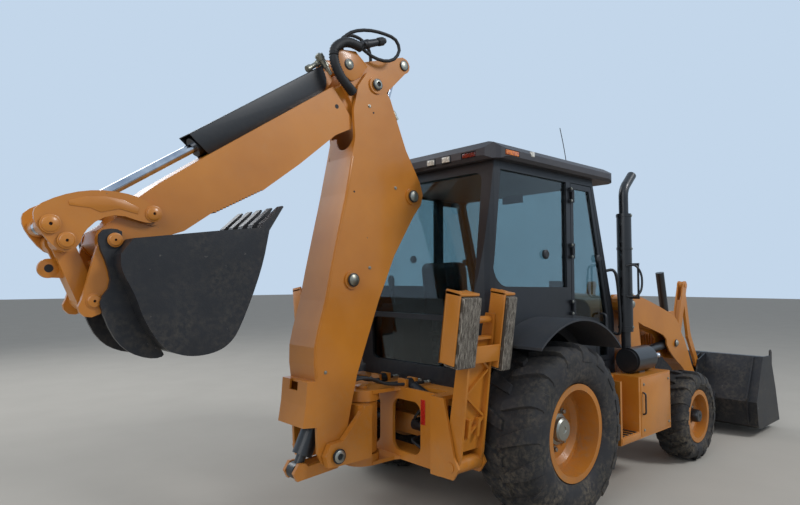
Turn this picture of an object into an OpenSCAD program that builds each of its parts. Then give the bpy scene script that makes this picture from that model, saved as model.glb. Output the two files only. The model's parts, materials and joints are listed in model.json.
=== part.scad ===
// Backhoe loader, full size, in millimetres.
// The machine faces +X, its left side is +Y, and the wheels stand at Z 0.
// Inside the modules, X 0 is the rear axle; place() then moves the whole machine
// so that the middle of its box is the origin.

/* [Wheels] */
// Distance between the axles
wheelbase = 2146; // [2050:10:2260]
// Rear tyre radius, out to the lug tips
rear_tyre_r = 625; // [600:5:640]
// Rear tyre width
rear_tyre_w = 480; // [440:5:500]
// Rear rim radius
rear_rim_r = 318; // [300:2:330]
// Middle of each rear tyre, from the machine's middle
rear_track = 850; // [845:5:885]
// Front tyre radius, out to the lug tips
front_tyre_r = 412; // [390:2:425]
// Front tyre width
front_tyre_w = 300; // [270:5:310]
// Front rim radius
front_rim_r = 222; // [205:1:230]
// Middle of each front tyre, from the machine's middle
front_track = 920; // [915:5:960]
// Height of the tyre lugs
lug_h = 28; // [18:1:32]

/* [Frame] */
// Gap between the two main rails, inside
rail_gap = 460; // [420:10:520]
// Height of a main rail
rail_h = 190; // [150:5:220]
// Thickness of a main rail
rail_t = 60; // [40:2:80]
// Height of the rails' underside above the ground
rail_z = 500; // [480:5:540]
// Plate thickness of the rear frame
frame_plate = 25; // [16:1:32]

/* [Cab] */
// Height of the top of the roof above the ground
roof_top = 2720; // [2680:5:2800]
// Width of the cab across its waist
cab_w = 1490; // [1440:10:1520]
// Thickness of the cab's walls and posts
cab_wall = 50; // [40:1:60]
// Thickness of the glass
glass_t = 6; // [5:1:10]
// Thickness of a door frame
door_t = 36; // [30:1:44]

/* [Backhoe] */
// Boom length from its foot pin to the dipper pin
boom_len = 2538; // [2450:5:2600]
// Lean of the boom towards the cab, in degrees
boom_lean = 7.9; // [7:0.1:8.5]
// Thickness of a boom side plate
boom_plate = 24; // [16:1:30]
// Width of the boom, outside
boom_w = 300; // [290:2:320]
// Dipper length from its pivot to the bucket pin
dipper_len = 2087; // [2040:5:2150]
// Slope of the dipper below level, in degrees
dipper_slope = 34.66; // [33.5:0.1:36]
// Width of the dipper's sliding arm, outside
arm_w = 240; // [220:2:250]
// Distance from the swing pin to the boom foot pin
swing_offset = 340; // [320:5:360]
// Width of the hoe bucket
hoe_w = 610; // [450:10:640]
// Radius of the main backhoe pins
pin_r = 32; // [26:1:38]

/* [Stabilisers] */
// Leg length from its hinge pin to the pad pin
leg_len = 950; // [900:5:980]
// Outward lean of the raised leg, in degrees
leg_lean = 8; // [6:0.5:9]
// Width of a leg
leg_w = 230; // [200:5:240]

/* [Loader] */
// Width of the loader bucket
loader_w = 2360; // [2200:10:2400]
// Thickness of the loader bucket's plates
bucket_plate = 16; // [12:1:20]
// Middle of each loader arm, from the machine's middle
arm_y = 680; // [672:2:690]
// Width of a loader arm
arm_t = 130; // [110:2:140]
// Radius of the loader pins
loader_pin_r = 25; // [20:1:30]

/* [Cylinders] */
// Outer radius of the boom cylinder's barrel
boom_barrel_r = 66; // [58:1:70]
// Outer radius of the dipper cylinder's barrel
dipper_barrel_r = 58; // [50:1:62]
// Outer radius of the bucket cylinder's barrel
bucket_barrel_r = 52; // [44:1:56]
// Outer radius of the loader lift barrels
lift_barrel_r = 42; // [38:1:44]
// Outer radius of the loader tilt barrels
tilt_barrel_r = 42; // [36:1:46]
// Radius of the rods
rod_r = 30; // [24:1:34]

/* [Hidden] */
$fn = 48;

amber = "#d98a1f";
black = "#1d1f22";
steel = "#9a9da1";
rubber = "#26282a";
glass_blue = "#5d7d8f";

// Running clearance beside a pin's eye, and all round a pin in its bore
side_gap = 6;
bore_gap = 0.05;

// Turns an angle in the XZ plane into a direction, and places a point from a start, a direction and two offsets
function along(angle) = [cos(angle), sin(angle)];
function offset_point(start, angle, u, v) =
  [start[0] + u * cos(angle) - v * sin(angle), start[1] + u * sin(angle) + v * cos(angle)];

// Backhoe pins, as [X, Z]
swing_x = -1100;
boom_foot = [swing_x - swing_offset, 566];
boom_angle = 90 - boom_lean;
function bm(u, v) = offset_point(boom_foot, boom_angle, u, v);
function bt(u, v) = offset_point(boom_foot, boom_angle, boom_len + u, v);
boom_tip = bt(0, 0);
boom_cyl_base = [boom_foot[0] - 190, boom_foot[1] - 96];
boom_cyl_pin = bt(-708, -450);
dipper_cyl_base = bt(-1398, 15);
arm_angle = 180 + dipper_slope;
function dp(u, v) = offset_point(boom_tip, arm_angle, u, v);
function dt(u, v) = offset_point(boom_tip, arm_angle, dipper_len + u, v);
dipper_tail = dp(-370, -15);
dipper_ear = dp(130, -210);
bucket_pin = dt(0, 0);
guide_pin = dt(-247, -10);
bucket_cyl_base = dp(300, -195);
bucket_cyl_pin = [bucket_pin[0] - 276, bucket_pin[1] + 65];
link_pin = [bucket_pin[0] - 206, bucket_pin[1] - 10];
coupler_pin = [bucket_pin[0] - 79, bucket_pin[1] - 301];

// Stabiliser pins, as [Y, Z] on the left side
leg_x = -785;
leg_hinge = [700, 500];
function leg_point(u, v) =
  [leg_hinge[0] + u * sin(leg_lean) - v * cos(leg_lean), leg_hinge[1] + u * cos(leg_lean) + v * sin(leg_lean)];
pad_pin = leg_point(leg_len, 0);
leg_cyl_pin = leg_point(250, 60);
leg_cyl_base = [150, 945];
leg_cyl_x = leg_x;

// Loader pins, as [X, Z]
arm_pivot = [1410, 1480];
lift_base = [1515, 990];
lift_pin = [2380, 1060];
tilt_pivot = [2815, 1030];
tilt_rod_pin = [2695, 858];
tilt_trunnion = [2585, 1330];
link_top = [3040, 1640];
link_kink = [3175, 1070];
link_low = [3385, 740];
loader_pin = [3260, 270];
cross_tube = [2930, 530];
cross_tube_r = 55;

// Front end of the rails, with its plate clear of the loader's cross tube
nose_plate = 34;
nose_gap = 55;
front_x = cross_tube[0] - cross_tube_r - nose_gap - nose_plate;
hood_hinge = [front_x + 29, 905];

rear_tip_x = bucket_cyl_pin[0] - 75;
front_tip_x = 4110;
x_shift = -(front_tip_x + rear_tip_x) / 2;

module place() { translate([x_shift, 0, 0]) children(); }
module both() {
  children();
  mirror([0, 1, 0]) children();
}

// A plate with an outline in the XZ plane, from Y y0 over the thickness t
module xz_plate(points, y0, t) {
  translate([0, y0 + t, 0]) rotate([90, 0, 0]) linear_extrude(t) polygon(points);
}
// A plate with an outline in the YZ plane, from X x0 over the thickness t
module yz_plate(points, x0, t) {
  translate([x0, 0, 0]) rotate([90, 0, 90]) linear_extrude(t) polygon(points);
}
// A box from one corner to the opposite corner
module block(low, high) {
  translate(low) cube([high[0] - low[0], high[1] - low[1], high[2] - low[2]]);
}
// A round bar along Y at the point p, as [X, Z]
module y_bar(p, r, y0, y1) {
  translate([p[0], y0, p[1]]) rotate([-90, 0, 0]) cylinder(r = r, h = y1 - y0);
}
// A flat bar of width w between two points in the XZ plane
module xz_bar(a, b, w, y0, t) {
  d = b - a;
  translate([a[0], y0, a[1]]) rotate([0, -atan2(d[1], d[0]), 0]) translate([0, 0, -w / 2]) cube([norm(d), t, w]);
}
// A round rod in the XZ plane from the point a, along an angle
module xz_rod(a, angle, r, from, to, y = 0) {
  translate([a[0], y, a[1]]) rotate([0, 90 - angle, 0]) translate([0, 0, from]) cylinder(r = r, h = to - from);
}
function angle_of(a, b) = atan2(b[1] - a[1], b[0] - a[0]);
// Points along an arc, and a rounded rectangle made of four arcs
function arc(c, r, from, to, n = 6) = [for (i = [0 : n]) c + r * along(from + (to - from) * i / n)];
// Cuts each corner of an outline, so that it reads as a curve
function cut(a, b) = [0.75 * a + 0.25 * b, 0.25 * a + 0.75 * b];
function softened(p) = [for (i = [0 : len(p) - 1]) each cut(p[i], p[(i + 1) % len(p)])];
function curve(p) = concat([p[0]], [for (i = [0 : len(p) - 2]) each cut(p[i], p[i + 1])], [p[len(p) - 1]]);
function rounded(low, high, r) = concat(
  arc([high[0] - r, high[1] - r], r, 0, 90), arc([low[0] + r, high[1] - r], r, 90, 180),
  arc([low[0] + r, low[1] + r], r, 180, 270), arc([high[0] - r, low[1] + r], r, 270, 360));

// The barrel of a cylinder: eye at the base, tube, and gland where the rod comes out
module barrel(base, tip, r, length, eye_w, pin, rod, y = 0) {
  angle = angle_of(base, tip);
  difference() {
    union() {
      y_bar(base, pin * 1.6, y - eye_w / 2, y + eye_w / 2);
      xz_rod(base, angle, eye_w * 0.45, pin * 1.3, r + 42, y);
      xz_rod(base, angle, r, r + 32, length, y);
      xz_rod(base, angle, r + 5, length - 70, length, y);
    }
    y_bar(base, pin + bore_gap, y - eye_w, y + eye_w);
    xz_rod(base, angle, rod + bore_gap, r + 60, length + 1, y);
  }
}
// The rod of a cylinder: it ends in an eye that rides open, beside its pin's bosses
module rod_with_eye(base, tip, r, hidden, eye_w, pin, barrel_length, y = 0) {
  angle = angle_of(base, tip);
  reach = norm(tip - base);
  difference() {
    union() {
      xz_rod(base, angle, r, barrel_length - hidden, reach - pin, y);
      y_bar(tip, pin * 1.75, y - eye_w / 2, y + eye_w / 2);
    }
    y_bar(tip, pin, y - eye_w, y + eye_w);
  }
}

// Tyre: a round carcass with slanted lugs, standing at the origin with its axle along Y
module tyre(radius, width, rim_r, lugs, lug_w) {
  core = radius - lug_h;
  shoulder = 45;
  difference() {
    union() {
      rotate([90, 0, 0]) rotate_extrude($fn = 72) polygon([
        [rim_r, -width / 2 + 40], [rim_r + 40, -width / 2 + 6], [(rim_r + core) / 2, -width / 2],
        [core - shoulder, -width / 2 + 12], [core, -width / 2 + shoulder + 20],
        [core, width / 2 - shoulder - 20], [core - shoulder, width / 2 - 12],
        [(rim_r + core) / 2, width / 2], [rim_r + 40, width / 2 - 6], [rim_r, width / 2 - 40]
      ]);
      for (i = [0 : lugs - 1], side = [-1, 1])
        rotate([0, (i + (side > 0 ? 0.5 : 0)) * 360 / lugs, 0])
          translate([0, side * width * 0.25, core - shoulder])
            rotate([0, 0, side * 28])
              translate([-lug_w / 2, -width * 0.25, 0]) cube([lug_w, width * 0.46, lug_h + shoulder]);
    }
    rotate([90, 0, 0]) difference() {
      cylinder(r = radius + 80, h = width * 2, center = true);
      cylinder(r = radius, h = width * 2 + 2, center = true, $fn = 96);
    }
  }
}
// Rim: a dished wheel with a flanged barrel; the dish faces +Y
module rim(rim_r, width, hub_r, bore) {
  lip = 22;
  meet = width * 0.05;
  rotate([-90, 0, 0]) difference() {
    rotate_extrude($fn = 72) polygon([
      [bore - 5, -20], [rim_r - 95, -20], [rim_r - 60, meet], [rim_r - 27, meet], [rim_r - 27, -width / 2],
      [rim_r + lip, -width / 2], [rim_r + lip, -width / 2 + 16], [rim_r - 1, -width / 2 + 26],
      [rim_r - 1, width / 2 - 26], [rim_r + lip, width / 2 - 16], [rim_r + lip, width / 2], [rim_r - 20, width / 2],
      [rim_r - 27, meet + 26], [rim_r - 62, meet + 26], [rim_r - 95, 10], [hub_r + 30, 10], [hub_r, 40], [bore - 5, 40]
    ]);
    translate([0, 0, -50]) cylinder(r = bore, h = 100);
  }
}

// Main frame: two rails, cross members, the loader towers and the front bumper
module chassis_frame() {
  color(amber) place() {
    difference() {
      union() {
        both() block([-602, rail_gap / 2, rail_z], [front_x, rail_gap / 2 + rail_t, rail_z + rail_h]);
        // Bridges over the rear axle
        both() block([-300, rail_gap / 2, rail_z + rail_h - 1], [300, rail_gap / 2 + rail_t, cab_floor_z]);
        for (x = [-602, 720, 1350, front_x - 60])
          block([x, -rail_gap / 2 - 1, rail_z + 20], [x + 60, rail_gap / 2 + 1, rail_z + rail_h - 20]);
        block([front_x - 1, -330, rail_z], [front_x + nose_plate, 330, rail_z + 260]);
        both() loader_tower();
        // Tie-down eyes under the rails
        both() block([front_x - 136, 245, rail_z - 78], [front_x - 36, 275, rail_z + 1]);
        // Cab mounts
        both() for (x = [-480, 900])
          block([x, rail_gap / 2, rail_z + rail_h - 1], [x + 120, rail_gap / 2 + rail_t, cab_floor_z]);
        // Hood hinge
        both() block([hood_hinge[0] - 29, 300, rail_z + 250], [hood_hinge[0] + 14, 318, hood_hinge[1] + 16]);
        both() y_bar(hood_hinge, 10, 301, 345);
      }
      rear_axle_cut();
      both() y_bar([front_x - 86, rail_z - 38], 22, 200, 320);
    }
  }
}
module rear_axle_cut() {
  translate([-156, -500, rear_tyre_r - 156]) cube([312, 1000, 312]);
}
// Loader tower: two plates with the arm's pivot and the lift cylinder's base between them
module loader_tower() {
  gap = arm_t / 2 + side_gap;
  for (s = [-1, 1])
    xz_plate([
      [arm_pivot[0] - 90, rail_z + 60], [arm_pivot[0] - 90, arm_pivot[1] + 20], [arm_pivot[0] - 40, arm_pivot[1] + 85],
      [arm_pivot[0] + 50, arm_pivot[1] + 85], [arm_pivot[0] + 95, arm_pivot[1] + 20], [lift_base[0] + 70, lift_base[1] + 60],
      [lift_base[0] + 90, rail_z + 60]
    ], s > 0 ? arm_y + gap : arm_y - gap - 16, 16);
  y_bar(arm_pivot, loader_pin_r, arm_y - gap - 14, arm_y + gap + 28);
  y_bar(lift_base, loader_pin_r, arm_y - gap - 14, arm_y + gap + 28);
  block([arm_pivot[0] - 90, rail_gap / 2 + rail_t - 1, rail_z + 60], [lift_base[0] + 90, arm_y + gap + 16, rail_z + 100]);
  block([arm_pivot[0] - 80, 0, rail_z + 30], [arm_pivot[0] + 40, arm_y - gap, rail_z + 150]);
}

// Rear axle, with the gearbox ahead of it
module rear_axle() {
  color(black) place() {
    difference() {
      union() {
        y_bar([0, rear_tyre_r], 120, -rear_track + 190, rear_track - 190);
        translate([0, 0, rear_tyre_r]) sphere(r = 215);
        both() y_bar([0, rear_tyre_r], 150, rear_track - 330, rear_track - 200);
        both() y_bar([0, rear_tyre_r], 60, rear_track - 230, rear_track + 60);
        block([130, -190, 400], [720, 190, 780]);
      }
    }
  }
}

// Front axle beam with its centre pivot and the steering knuckles' kingpins
kingpin_y = front_track - 120;
module front_axle() {
  color(amber) place() translate([wheelbase, 0, 0]) {
    difference() {
      union() {
        y_bar([0, front_tyre_r], 70, -kingpin_y + 75, kingpin_y - 75);
        translate([0, 0, front_tyre_r - 20]) sphere(r = 115);
        both() for (z = [-130, 85]) {
          translate([0, kingpin_y, front_tyre_r + z]) cylinder(r = 60, h = 45);
          block([-58, kingpin_y - 150, front_tyre_r + z], [58, kingpin_y, front_tyre_r + z + 45]);
        }
        both() block([-58, kingpin_y - 150, front_tyre_r - 130], [58, kingpin_y - 100, front_tyre_r + 130]);
        block([-70, -90, front_tyre_r + 40], [70, 90, rail_z + rail_h - 80]);
        block([-50, -rail_gap / 2, rail_z + 40], [50, rail_gap / 2, rail_z + rail_h - 60]);
      }
      both() translate([0, kingpin_y, front_tyre_r - 140]) cylinder(r = 20 + bore_gap, h = 280);
    }
  }
}
module knuckle() {
  place() translate([wheelbase, kingpin_y, front_tyre_r]) {
    cylinder(r = 20, h = 256, center = true);
    cylinder(r = 50, h = 160, center = true);
    y_bar([0, 0], 66, 0, 90);
    y_bar([0, 0], 40, 80, 172);
  }
}
module knuckle_left() { color(black) knuckle(); }
module knuckle_right() { color(black) mirror([0, 1, 0]) knuckle(); }

module wheel_at(x, y, z) { place() translate([x, y, z]) children(); }
module front_tyre_left() {
  color(rubber) wheel_at(wheelbase, front_track, front_tyre_r) tyre(front_tyre_r, front_tyre_w, front_rim_r + 23, 14, 52);
}
module front_tyre_right() {
  color(rubber) wheel_at(wheelbase, -front_track, front_tyre_r) tyre(front_tyre_r, front_tyre_w, front_rim_r + 23, 14, 52);
}
module front_rim_left() {
  color(amber) wheel_at(wheelbase, front_track, front_tyre_r) rim(front_rim_r, 250, 60, 40 + bore_gap);
}
module front_rim_right() {
  color(amber) wheel_at(wheelbase, -front_track, front_tyre_r) mirror([0, 1, 0]) rim(front_rim_r, 250, 60, 40 + bore_gap);
}
module rear_tyre_left() {
  color(rubber) wheel_at(0, rear_track, rear_tyre_r) tyre(rear_tyre_r, rear_tyre_w, rear_rim_r + 23, 16, 80);
}
module rear_tyre_right() {
  color(rubber) wheel_at(0, -rear_track, rear_tyre_r) tyre(rear_tyre_r, rear_tyre_w, rear_rim_r + 23, 16, 80);
}
module rear_rim_left() {
  color(amber) wheel_at(0, rear_track, rear_tyre_r) rim(rear_rim_r, 400, 90, 60 + bore_gap);
}
module rear_rim_right() {
  color(amber) wheel_at(0, -rear_track, rear_tyre_r) mirror([0, 1, 0]) rim(rear_rim_r, 400, 90, 60 + bore_gap);
}

module engine_block() {
  color("#3a3c3e") place() block([1500, -rail_gap / 2, rail_z + rail_h - 60], [2300, rail_gap / 2, 1180]);
}

// Hood: a sloping shell, open below and at the front
hood_rear_x = 1250;
hood_front_x = front_x - 36;
hood_w = 900;
hood_line = [
  [hood_rear_x, 1540], [hood_rear_x + 40, 1580], [hood_rear_x + 120, 1592], [hood_rear_x + 480, 1556], [hood_rear_x + 900, 1470],
  [hood_front_x - 250, 1360], [hood_front_x - 90, 1295], [hood_front_x - 20, 1235], [hood_front_x, 1150]
];
module hood_solid(inset, past) {
  half = hood_w / 2 - inset;
  down = [0, -inset];
  intersection() {
    xz_plate(concat([[hood_rear_x - past, 860 - past]], [[hood_rear_x - past, 1540 - inset]], [for (p = hood_line) p + down],
      [[hood_front_x + past, 1150 - inset], [hood_front_x + past, 860 - past]]), -half, 2 * half);
    yz_plate(concat([[half, 800]], arc([half - 130 + inset, 1400], 130 - inset, 0, 60), [[half - 200, 1530 - inset], [0, 1600 - inset]],
      [[200 - half, 1530 - inset]], arc([130 - inset - half, 1400], 130 - inset, 120, 180), [[-half, 800]]), hood_rear_x - 2, 1700);
  }
}
module hood() {
  wall = 14;
  color(amber) place() difference() {
    hood_solid(0, 0);
    hood_solid(wall, 1);
    // Cooling slots low on each side
    for (i = [0 : 7])
      block([hood_rear_x + 820 + i * 60, -hood_w, 980], [hood_rear_x + 850 + i * 60, hood_w, 1130]);
  }
}
module grille() {
  y = hood_w / 2 - 14;
  color(black) place() {
    difference() {
      block([hood_front_x - 40, -y, 862], [hood_front_x + 28, y, 1134]);
      block([hood_front_x - 20, -y + 50, 900], [hood_front_x + 29, y - 50, 1094]);
    }
    for (z = [930 : 45 : 1070])
      block([hood_front_x - 21, -y + 49, z], [hood_front_x + 18, y - 49, z + 14]);
    both() difference() {
      block([hood_front_x + 27, 322, hood_hinge[1] - 22], [hood_hinge[0] + 20, 340, hood_hinge[1] + 22]);
      y_bar(hood_hinge, 10 + bore_gap, 300, 360);
    }
  }
}

// Step box on the right and fuel tank on the left
box_wheel_gap = 194;
module side_boxes() {
  box_in = arm_y + 105;
  box_front = wheelbase - front_tyre_r - box_wheel_gap;
  rail_out = rail_gap / 2 + rail_t;
  color(amber) place() {
    mirror([0, 1, 0]) difference() {
      block([645, box_in, 410], [box_front, 1040, 905]);
      block([670, box_in + 40, 470], [950, 1041, 906]);
    }
    difference() {
      block([645, box_in, 410], [box_front, 1040, 905]);
      block([670, box_in + 40, 640], [950, 1041, 906]);
    }
    both() for (x = [680, 1150])
      block([x, rail_out, 560], [x + 100, box_in + 1, 640]);
  }
}

// Cab: a hollow shell split into frame, roof, glass and doors
cab_rear_x = -600;
cab_front_x = 1180;
cab_floor_z = 900;
cab_top_z = 2540;
cab_side_outline = [
  [cab_rear_x, cab_floor_z], [cab_rear_x - 20, 1560], [cab_rear_x + 90, cab_top_z],
  [790, cab_top_z], [cab_front_x, 1200], [cab_front_x, cab_floor_z]
];
rear_corner_r = 150;
front_corner_r = 70;
module cab_solid(inset) {
  half = cab_w / 2 - inset;
  rear = rear_corner_r - inset;
  front = front_corner_r - inset;
  back_x = cab_rear_x - 20 + inset;
  intersection() {
    xz_plate([
      [cab_rear_x + inset, cab_floor_z + inset], [cab_rear_x - 20 + inset, 1560], [cab_rear_x + 90 + inset, cab_top_z - inset],
      [790 - inset, cab_top_z - inset], [cab_front_x - inset, 1200], [cab_front_x - inset, cab_floor_z + inset]
    ], -half, 2 * half);
    linear_extrude(3000) polygon(concat(
      arc([cab_front_x - inset - front, half - front], front, 0, 90), arc([back_x + rear, half - rear], rear, 90, 180),
      arc([back_x + rear, rear - half], rear, 180, 270), arc([cab_front_x - inset - front, front - half], front, 270, 360)));
  }
}
// The cab is narrower over the rear wheels and below at the back
module cab_hull(inset) {
  low = cab_floor_z - 1;
  difference() {
    cab_solid(inset);
    both() y_bar([0, rear_tyre_r], 710 + inset, 570 - inset, 2000);
    both() yz_plate([[cab_w / 2 - 175 - inset, low], [cab_w / 2 - inset, 1460], [cab_w, 1460], [cab_w, low]], cab_rear_x - 100, 330 + inset);
  }
}
door_rear_x = 450;
door_front_x = 1050;
hinge_y = cab_w / 2 + 18;
side_window = concat(
  arc([-380, 1790], 140, 185, 265), [[door_rear_x - 60, 1640]], [[door_rear_x - 60, cab_top_z - 60]], [[-445, cab_top_z - 60]]);
rear_window = rounded([-640, 1440], [640, cab_top_z - 75], 70);
rear_low_window = rounded([-470, 1060], [470, 1400], 50);
module window_cutters() {
  xz_plate(side_window, -cab_w, cab_w * 2);
  yz_plate(rear_window, cab_rear_x - 60, 330);
  yz_plate(rear_low_window, cab_rear_x - 60, 330);
  yz_plate(rounded([60 - cab_w / 2, 1330], [cab_w / 2 - 60, cab_top_z - 50], 50), 700, cab_front_x - 650);
}
function door_outline(g) = [
  [door_rear_x + g, 1370 + g], [door_rear_x + g, cab_top_z - 55 - g], [770 - g * 0.8, cab_top_z - 55 - g],
  [door_front_x - g, 1380], [door_front_x - g, 1010 + g], [830 + g, 1010 + g], [820 + g, 1330 + g]
];
module cab_frame() {
  color(black) place() {
    difference() {
      cab_hull(0);
      cab_hull(cab_wall);
      window_cutters();
      xz_plate(door_outline(0), -cab_w, cab_w * 2);
    }
    both() door_hinges();
  }
}
// Roof: a crowned shell with rounded corners, wider than the cab
module cab_roof() {
  half = cab_w / 2 + 80;
  rear = cab_rear_x + 15;
  color("#3b3a3d") place() difference() {
    intersection() {
      xz_plate(concat([[rear + 25, cab_top_z], [rear, cab_top_z + 25], [rear, cab_top_z + 75], [rear + 45, cab_top_z + 125]],
        [[-330, roof_top - 16], [-160, roof_top], [300, roof_top], [620, roof_top - 18], [920, roof_top - 62], [1050, roof_top - 112]],
        [[1088, cab_top_z + 35], [1075, cab_top_z]]), -half, 2 * half);
      yz_plate([[-half + 20, cab_top_z], [-half, cab_top_z + 22], [-half, cab_top_z + 66], [-half + 55, cab_top_z + 110],
        [-half + 170, roof_top - 36], [-half + 330, roof_top - 8], [-200, roof_top], [200, roof_top], [half - 330, roof_top - 8],
        [half - 170, roof_top - 36], [half - 55, cab_top_z + 110], [half, cab_top_z + 66], [half, cab_top_z + 22],
        [half - 20, cab_top_z]], rear - 1, 1700);
      linear_extrude(3000) polygon(rounded([rear, -half], [1088, half], 150));
    }
    // Recesses for the lamps
    for (y = rear_lamps_y) block([rear - 10, y - 48, cab_top_z + 16], [rear + 45, y + 48, cab_top_z + 72]);
    both() block([rear - 10, 500, cab_top_z + 22], [rear + 30, 640, cab_top_z + 66]);
    both() block([-480, half - 22, cab_top_z + 24], [-330, half + 10, cab_top_z + 64]);
    for (y = front_lamps_y) block([1050, y - 60, cab_top_z + 20], [1100, y + 60, cab_top_z + 64]);
  }
}
module cab_glass() {
  color(glass_blue, 0.4) place() intersection() {
    difference() {
      cab_solid(20);
      cab_solid(20 + glass_t);
    }
    window_cutters();
  }
}
module door_frame() {
  y1 = cab_w / 2;
  difference() {
    union() {
      difference() {
        xz_plate(door_outline(6), y1 - door_t, door_t);
        xz_plate(door_outline(46), y1 - door_t - 1, door_t + 2);
      }
      for (z = [1450, 1900, 2350]) {
        block([door_rear_x + 8, y1 - 10, z], [door_rear_x + 30, hinge_y, z + 60]);
        translate([door_rear_x + 10, hinge_y, z]) cylinder(r = 13, h = 60);
      }
    }
    translate([door_rear_x + 10, hinge_y, 1000]) cylinder(r = 6 + bore_gap, h = 1600);
  }
}
module door_hinges() {
  for (z = [1450, 1900, 2350]) {
    translate([door_rear_x + 10, hinge_y, z - 30]) cylinder(r = 6, h = 120);
    for (w = [-30, 65]) {
      translate([door_rear_x + 10, hinge_y, z + w]) cylinder(r = 13, h = 25);
      block([door_rear_x - 30, cab_w / 2 - 5, z + w], [door_rear_x + 4, hinge_y + 8, z + w + 25]);
    }
  }
}
module door_pane() {
  xz_plate(door_outline(46), cab_w / 2 - door_t / 2, glass_t);
}
module door_left() { color(black) place() door_frame(); }
module door_right() { color(black) place() mirror([0, 1, 0]) door_frame(); }
module door_left_glass() { color(glass_blue, 0.4) place() door_pane(); }
module door_right_glass() { color(glass_blue, 0.4) place() mirror([0, 1, 0]) door_pane(); }

// Fenders: an arched plate over each rear wheel, fixed to the cab's side
module fenders() {
  outer = 800;
  y0 = cab_w / 2;
  y1 = rear_track + rear_tyre_w / 2 + 10;
  color(black) place() both() difference() {
    translate([0, y1, rear_tyre_r]) rotate([90, 0, 0]) cylinder(r = outer, h = y1 - y0, $fn = 96);
    translate([0, y1 + 1, rear_tyre_r]) rotate([90, 0, 0]) cylinder(r = outer - 14, h = y1 - y0 + 2, $fn = 96);
    block([-1000, 0, -200], [1000, 1500, 1150]);
    block([-1000, 0, -200], [-490, 1500, 1600]);
    block([560, 0, -200], [1000, 1500, 1600]);
  }
}

module cab_interior() {
  color("#2b2d2f") place() {
    block([-250, -260, cab_floor_z + cab_wall], [250, 260, 1260]);
    block([-230, -250, 1260], [240, 250, 1380]);
    block([-290, -240, 1300], [-170, 240, 1850]);
    block([560, -140, cab_floor_z + cab_wall], [760, 140, 1500]);
    translate([560, 0, 1520]) rotate([0, -30, 0]) rotate_extrude() translate([190, 0]) circle(r = 15);
    translate([560, 0, 1520]) rotate([0, -30, 0]) cube([380, 30, 16], center = true);
    translate([570, 0, 1490]) rotate([0, -30, 0]) cylinder(r = 30, h = 60, center = true);
  }
}

module exhaust() {
  x = 1190;
  y = -(cab_w / 2 + 75);
  turn_r = 150;
  tip = [x + turn_r * (1 - cos(48)), 2430 + turn_r * sin(48)];
  color(black) place() {
    translate([x, y, 1000]) cylinder(r = 40, h = 1430);
    difference() {
      translate([x, y, 1250]) cylinder(r = 62, h = 1030);
      for (i = [0 : 5])
        block([x - 70, y - 8, 1330 + i * 150], [x + 70, y + 8, 1420 + i * 150]);
    }
    translate([x, y, 1330]) cylinder(r = 41, h = 900);
    translate([x + turn_r, y, 2429]) rotate([90, 0, 0]) rotate([0, 0, 132]) rotate_extrude(angle = 49) translate([turn_r, 0]) circle(r = 40);
    difference() {
      xz_rod(tip, 42, 40, -6, 150, y);
      xz_rod(tip, 42, 34, 40, 151, y);
      translate([tip[0] + 150, y - 50, tip[1] + 60]) rotate([0, -20, 0]) cube([100, 100, 140]);
    }
    translate([1085, y - 65, 1015]) rotate([0, 90, 0]) cylinder(r = 108, h = 330);
    translate([1065, y - 65, 1015]) rotate([0, 90, 0]) cylinder(r = 92, h = 370);
    block([1200, y - 110, 905], [1300, y - 20, 1000]);
    // Rail of the mirror
    for (z = [1545, 1835])
      xz_rail([x - 30, y - 40], z);
    translate([x - 20, y - 130, 1545]) cylinder(r = 9, h = 290);
  }
}
module xz_rail(p, z) {
  translate([p[0] + 10, p[1] + 20, z]) rotate([90, 0, 0]) cylinder(r = 9, h = 119);
}

rear_lamps_y = [-352, -195, 195, 352];
front_lamps_y = [-480, -300, 300, 480];
module lamps() {
  rear = cab_rear_x + 15;
  color("#d8d4c8") place() {
    for (y = rear_lamps_y) block([rear + 10, y - 48, cab_top_z + 16], [rear + 45, y + 48, cab_top_z + 72]);
    both() block([rear + 6, 500, cab_top_z + 22], [rear + 30, 640, cab_top_z + 66]);
    both() block([-480, cab_w / 2 + 58, cab_top_z + 24], [-330, cab_w / 2 + 76, cab_top_z + 64]);
    for (y = front_lamps_y) block([1050, y - 60, cab_top_z + 20], [1078, y + 60, cab_top_z + 64]);
  }
}

// Swing cylinders, one each side behind the web, on a saddle
swing_cyl = [-694, 640];
module swing_cylinders() {
  color(black) place() both() {
    y_bar(swing_cyl, 43, 130, 470);
    y_bar(swing_cyl, 26, 470, 560);
    block([swing_cyl[0] - 30, 300, frame_low_z + frame_plate], [swing_cyl[0] + 30, 340, swing_cyl[1] - 30]);
  }
}

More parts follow.
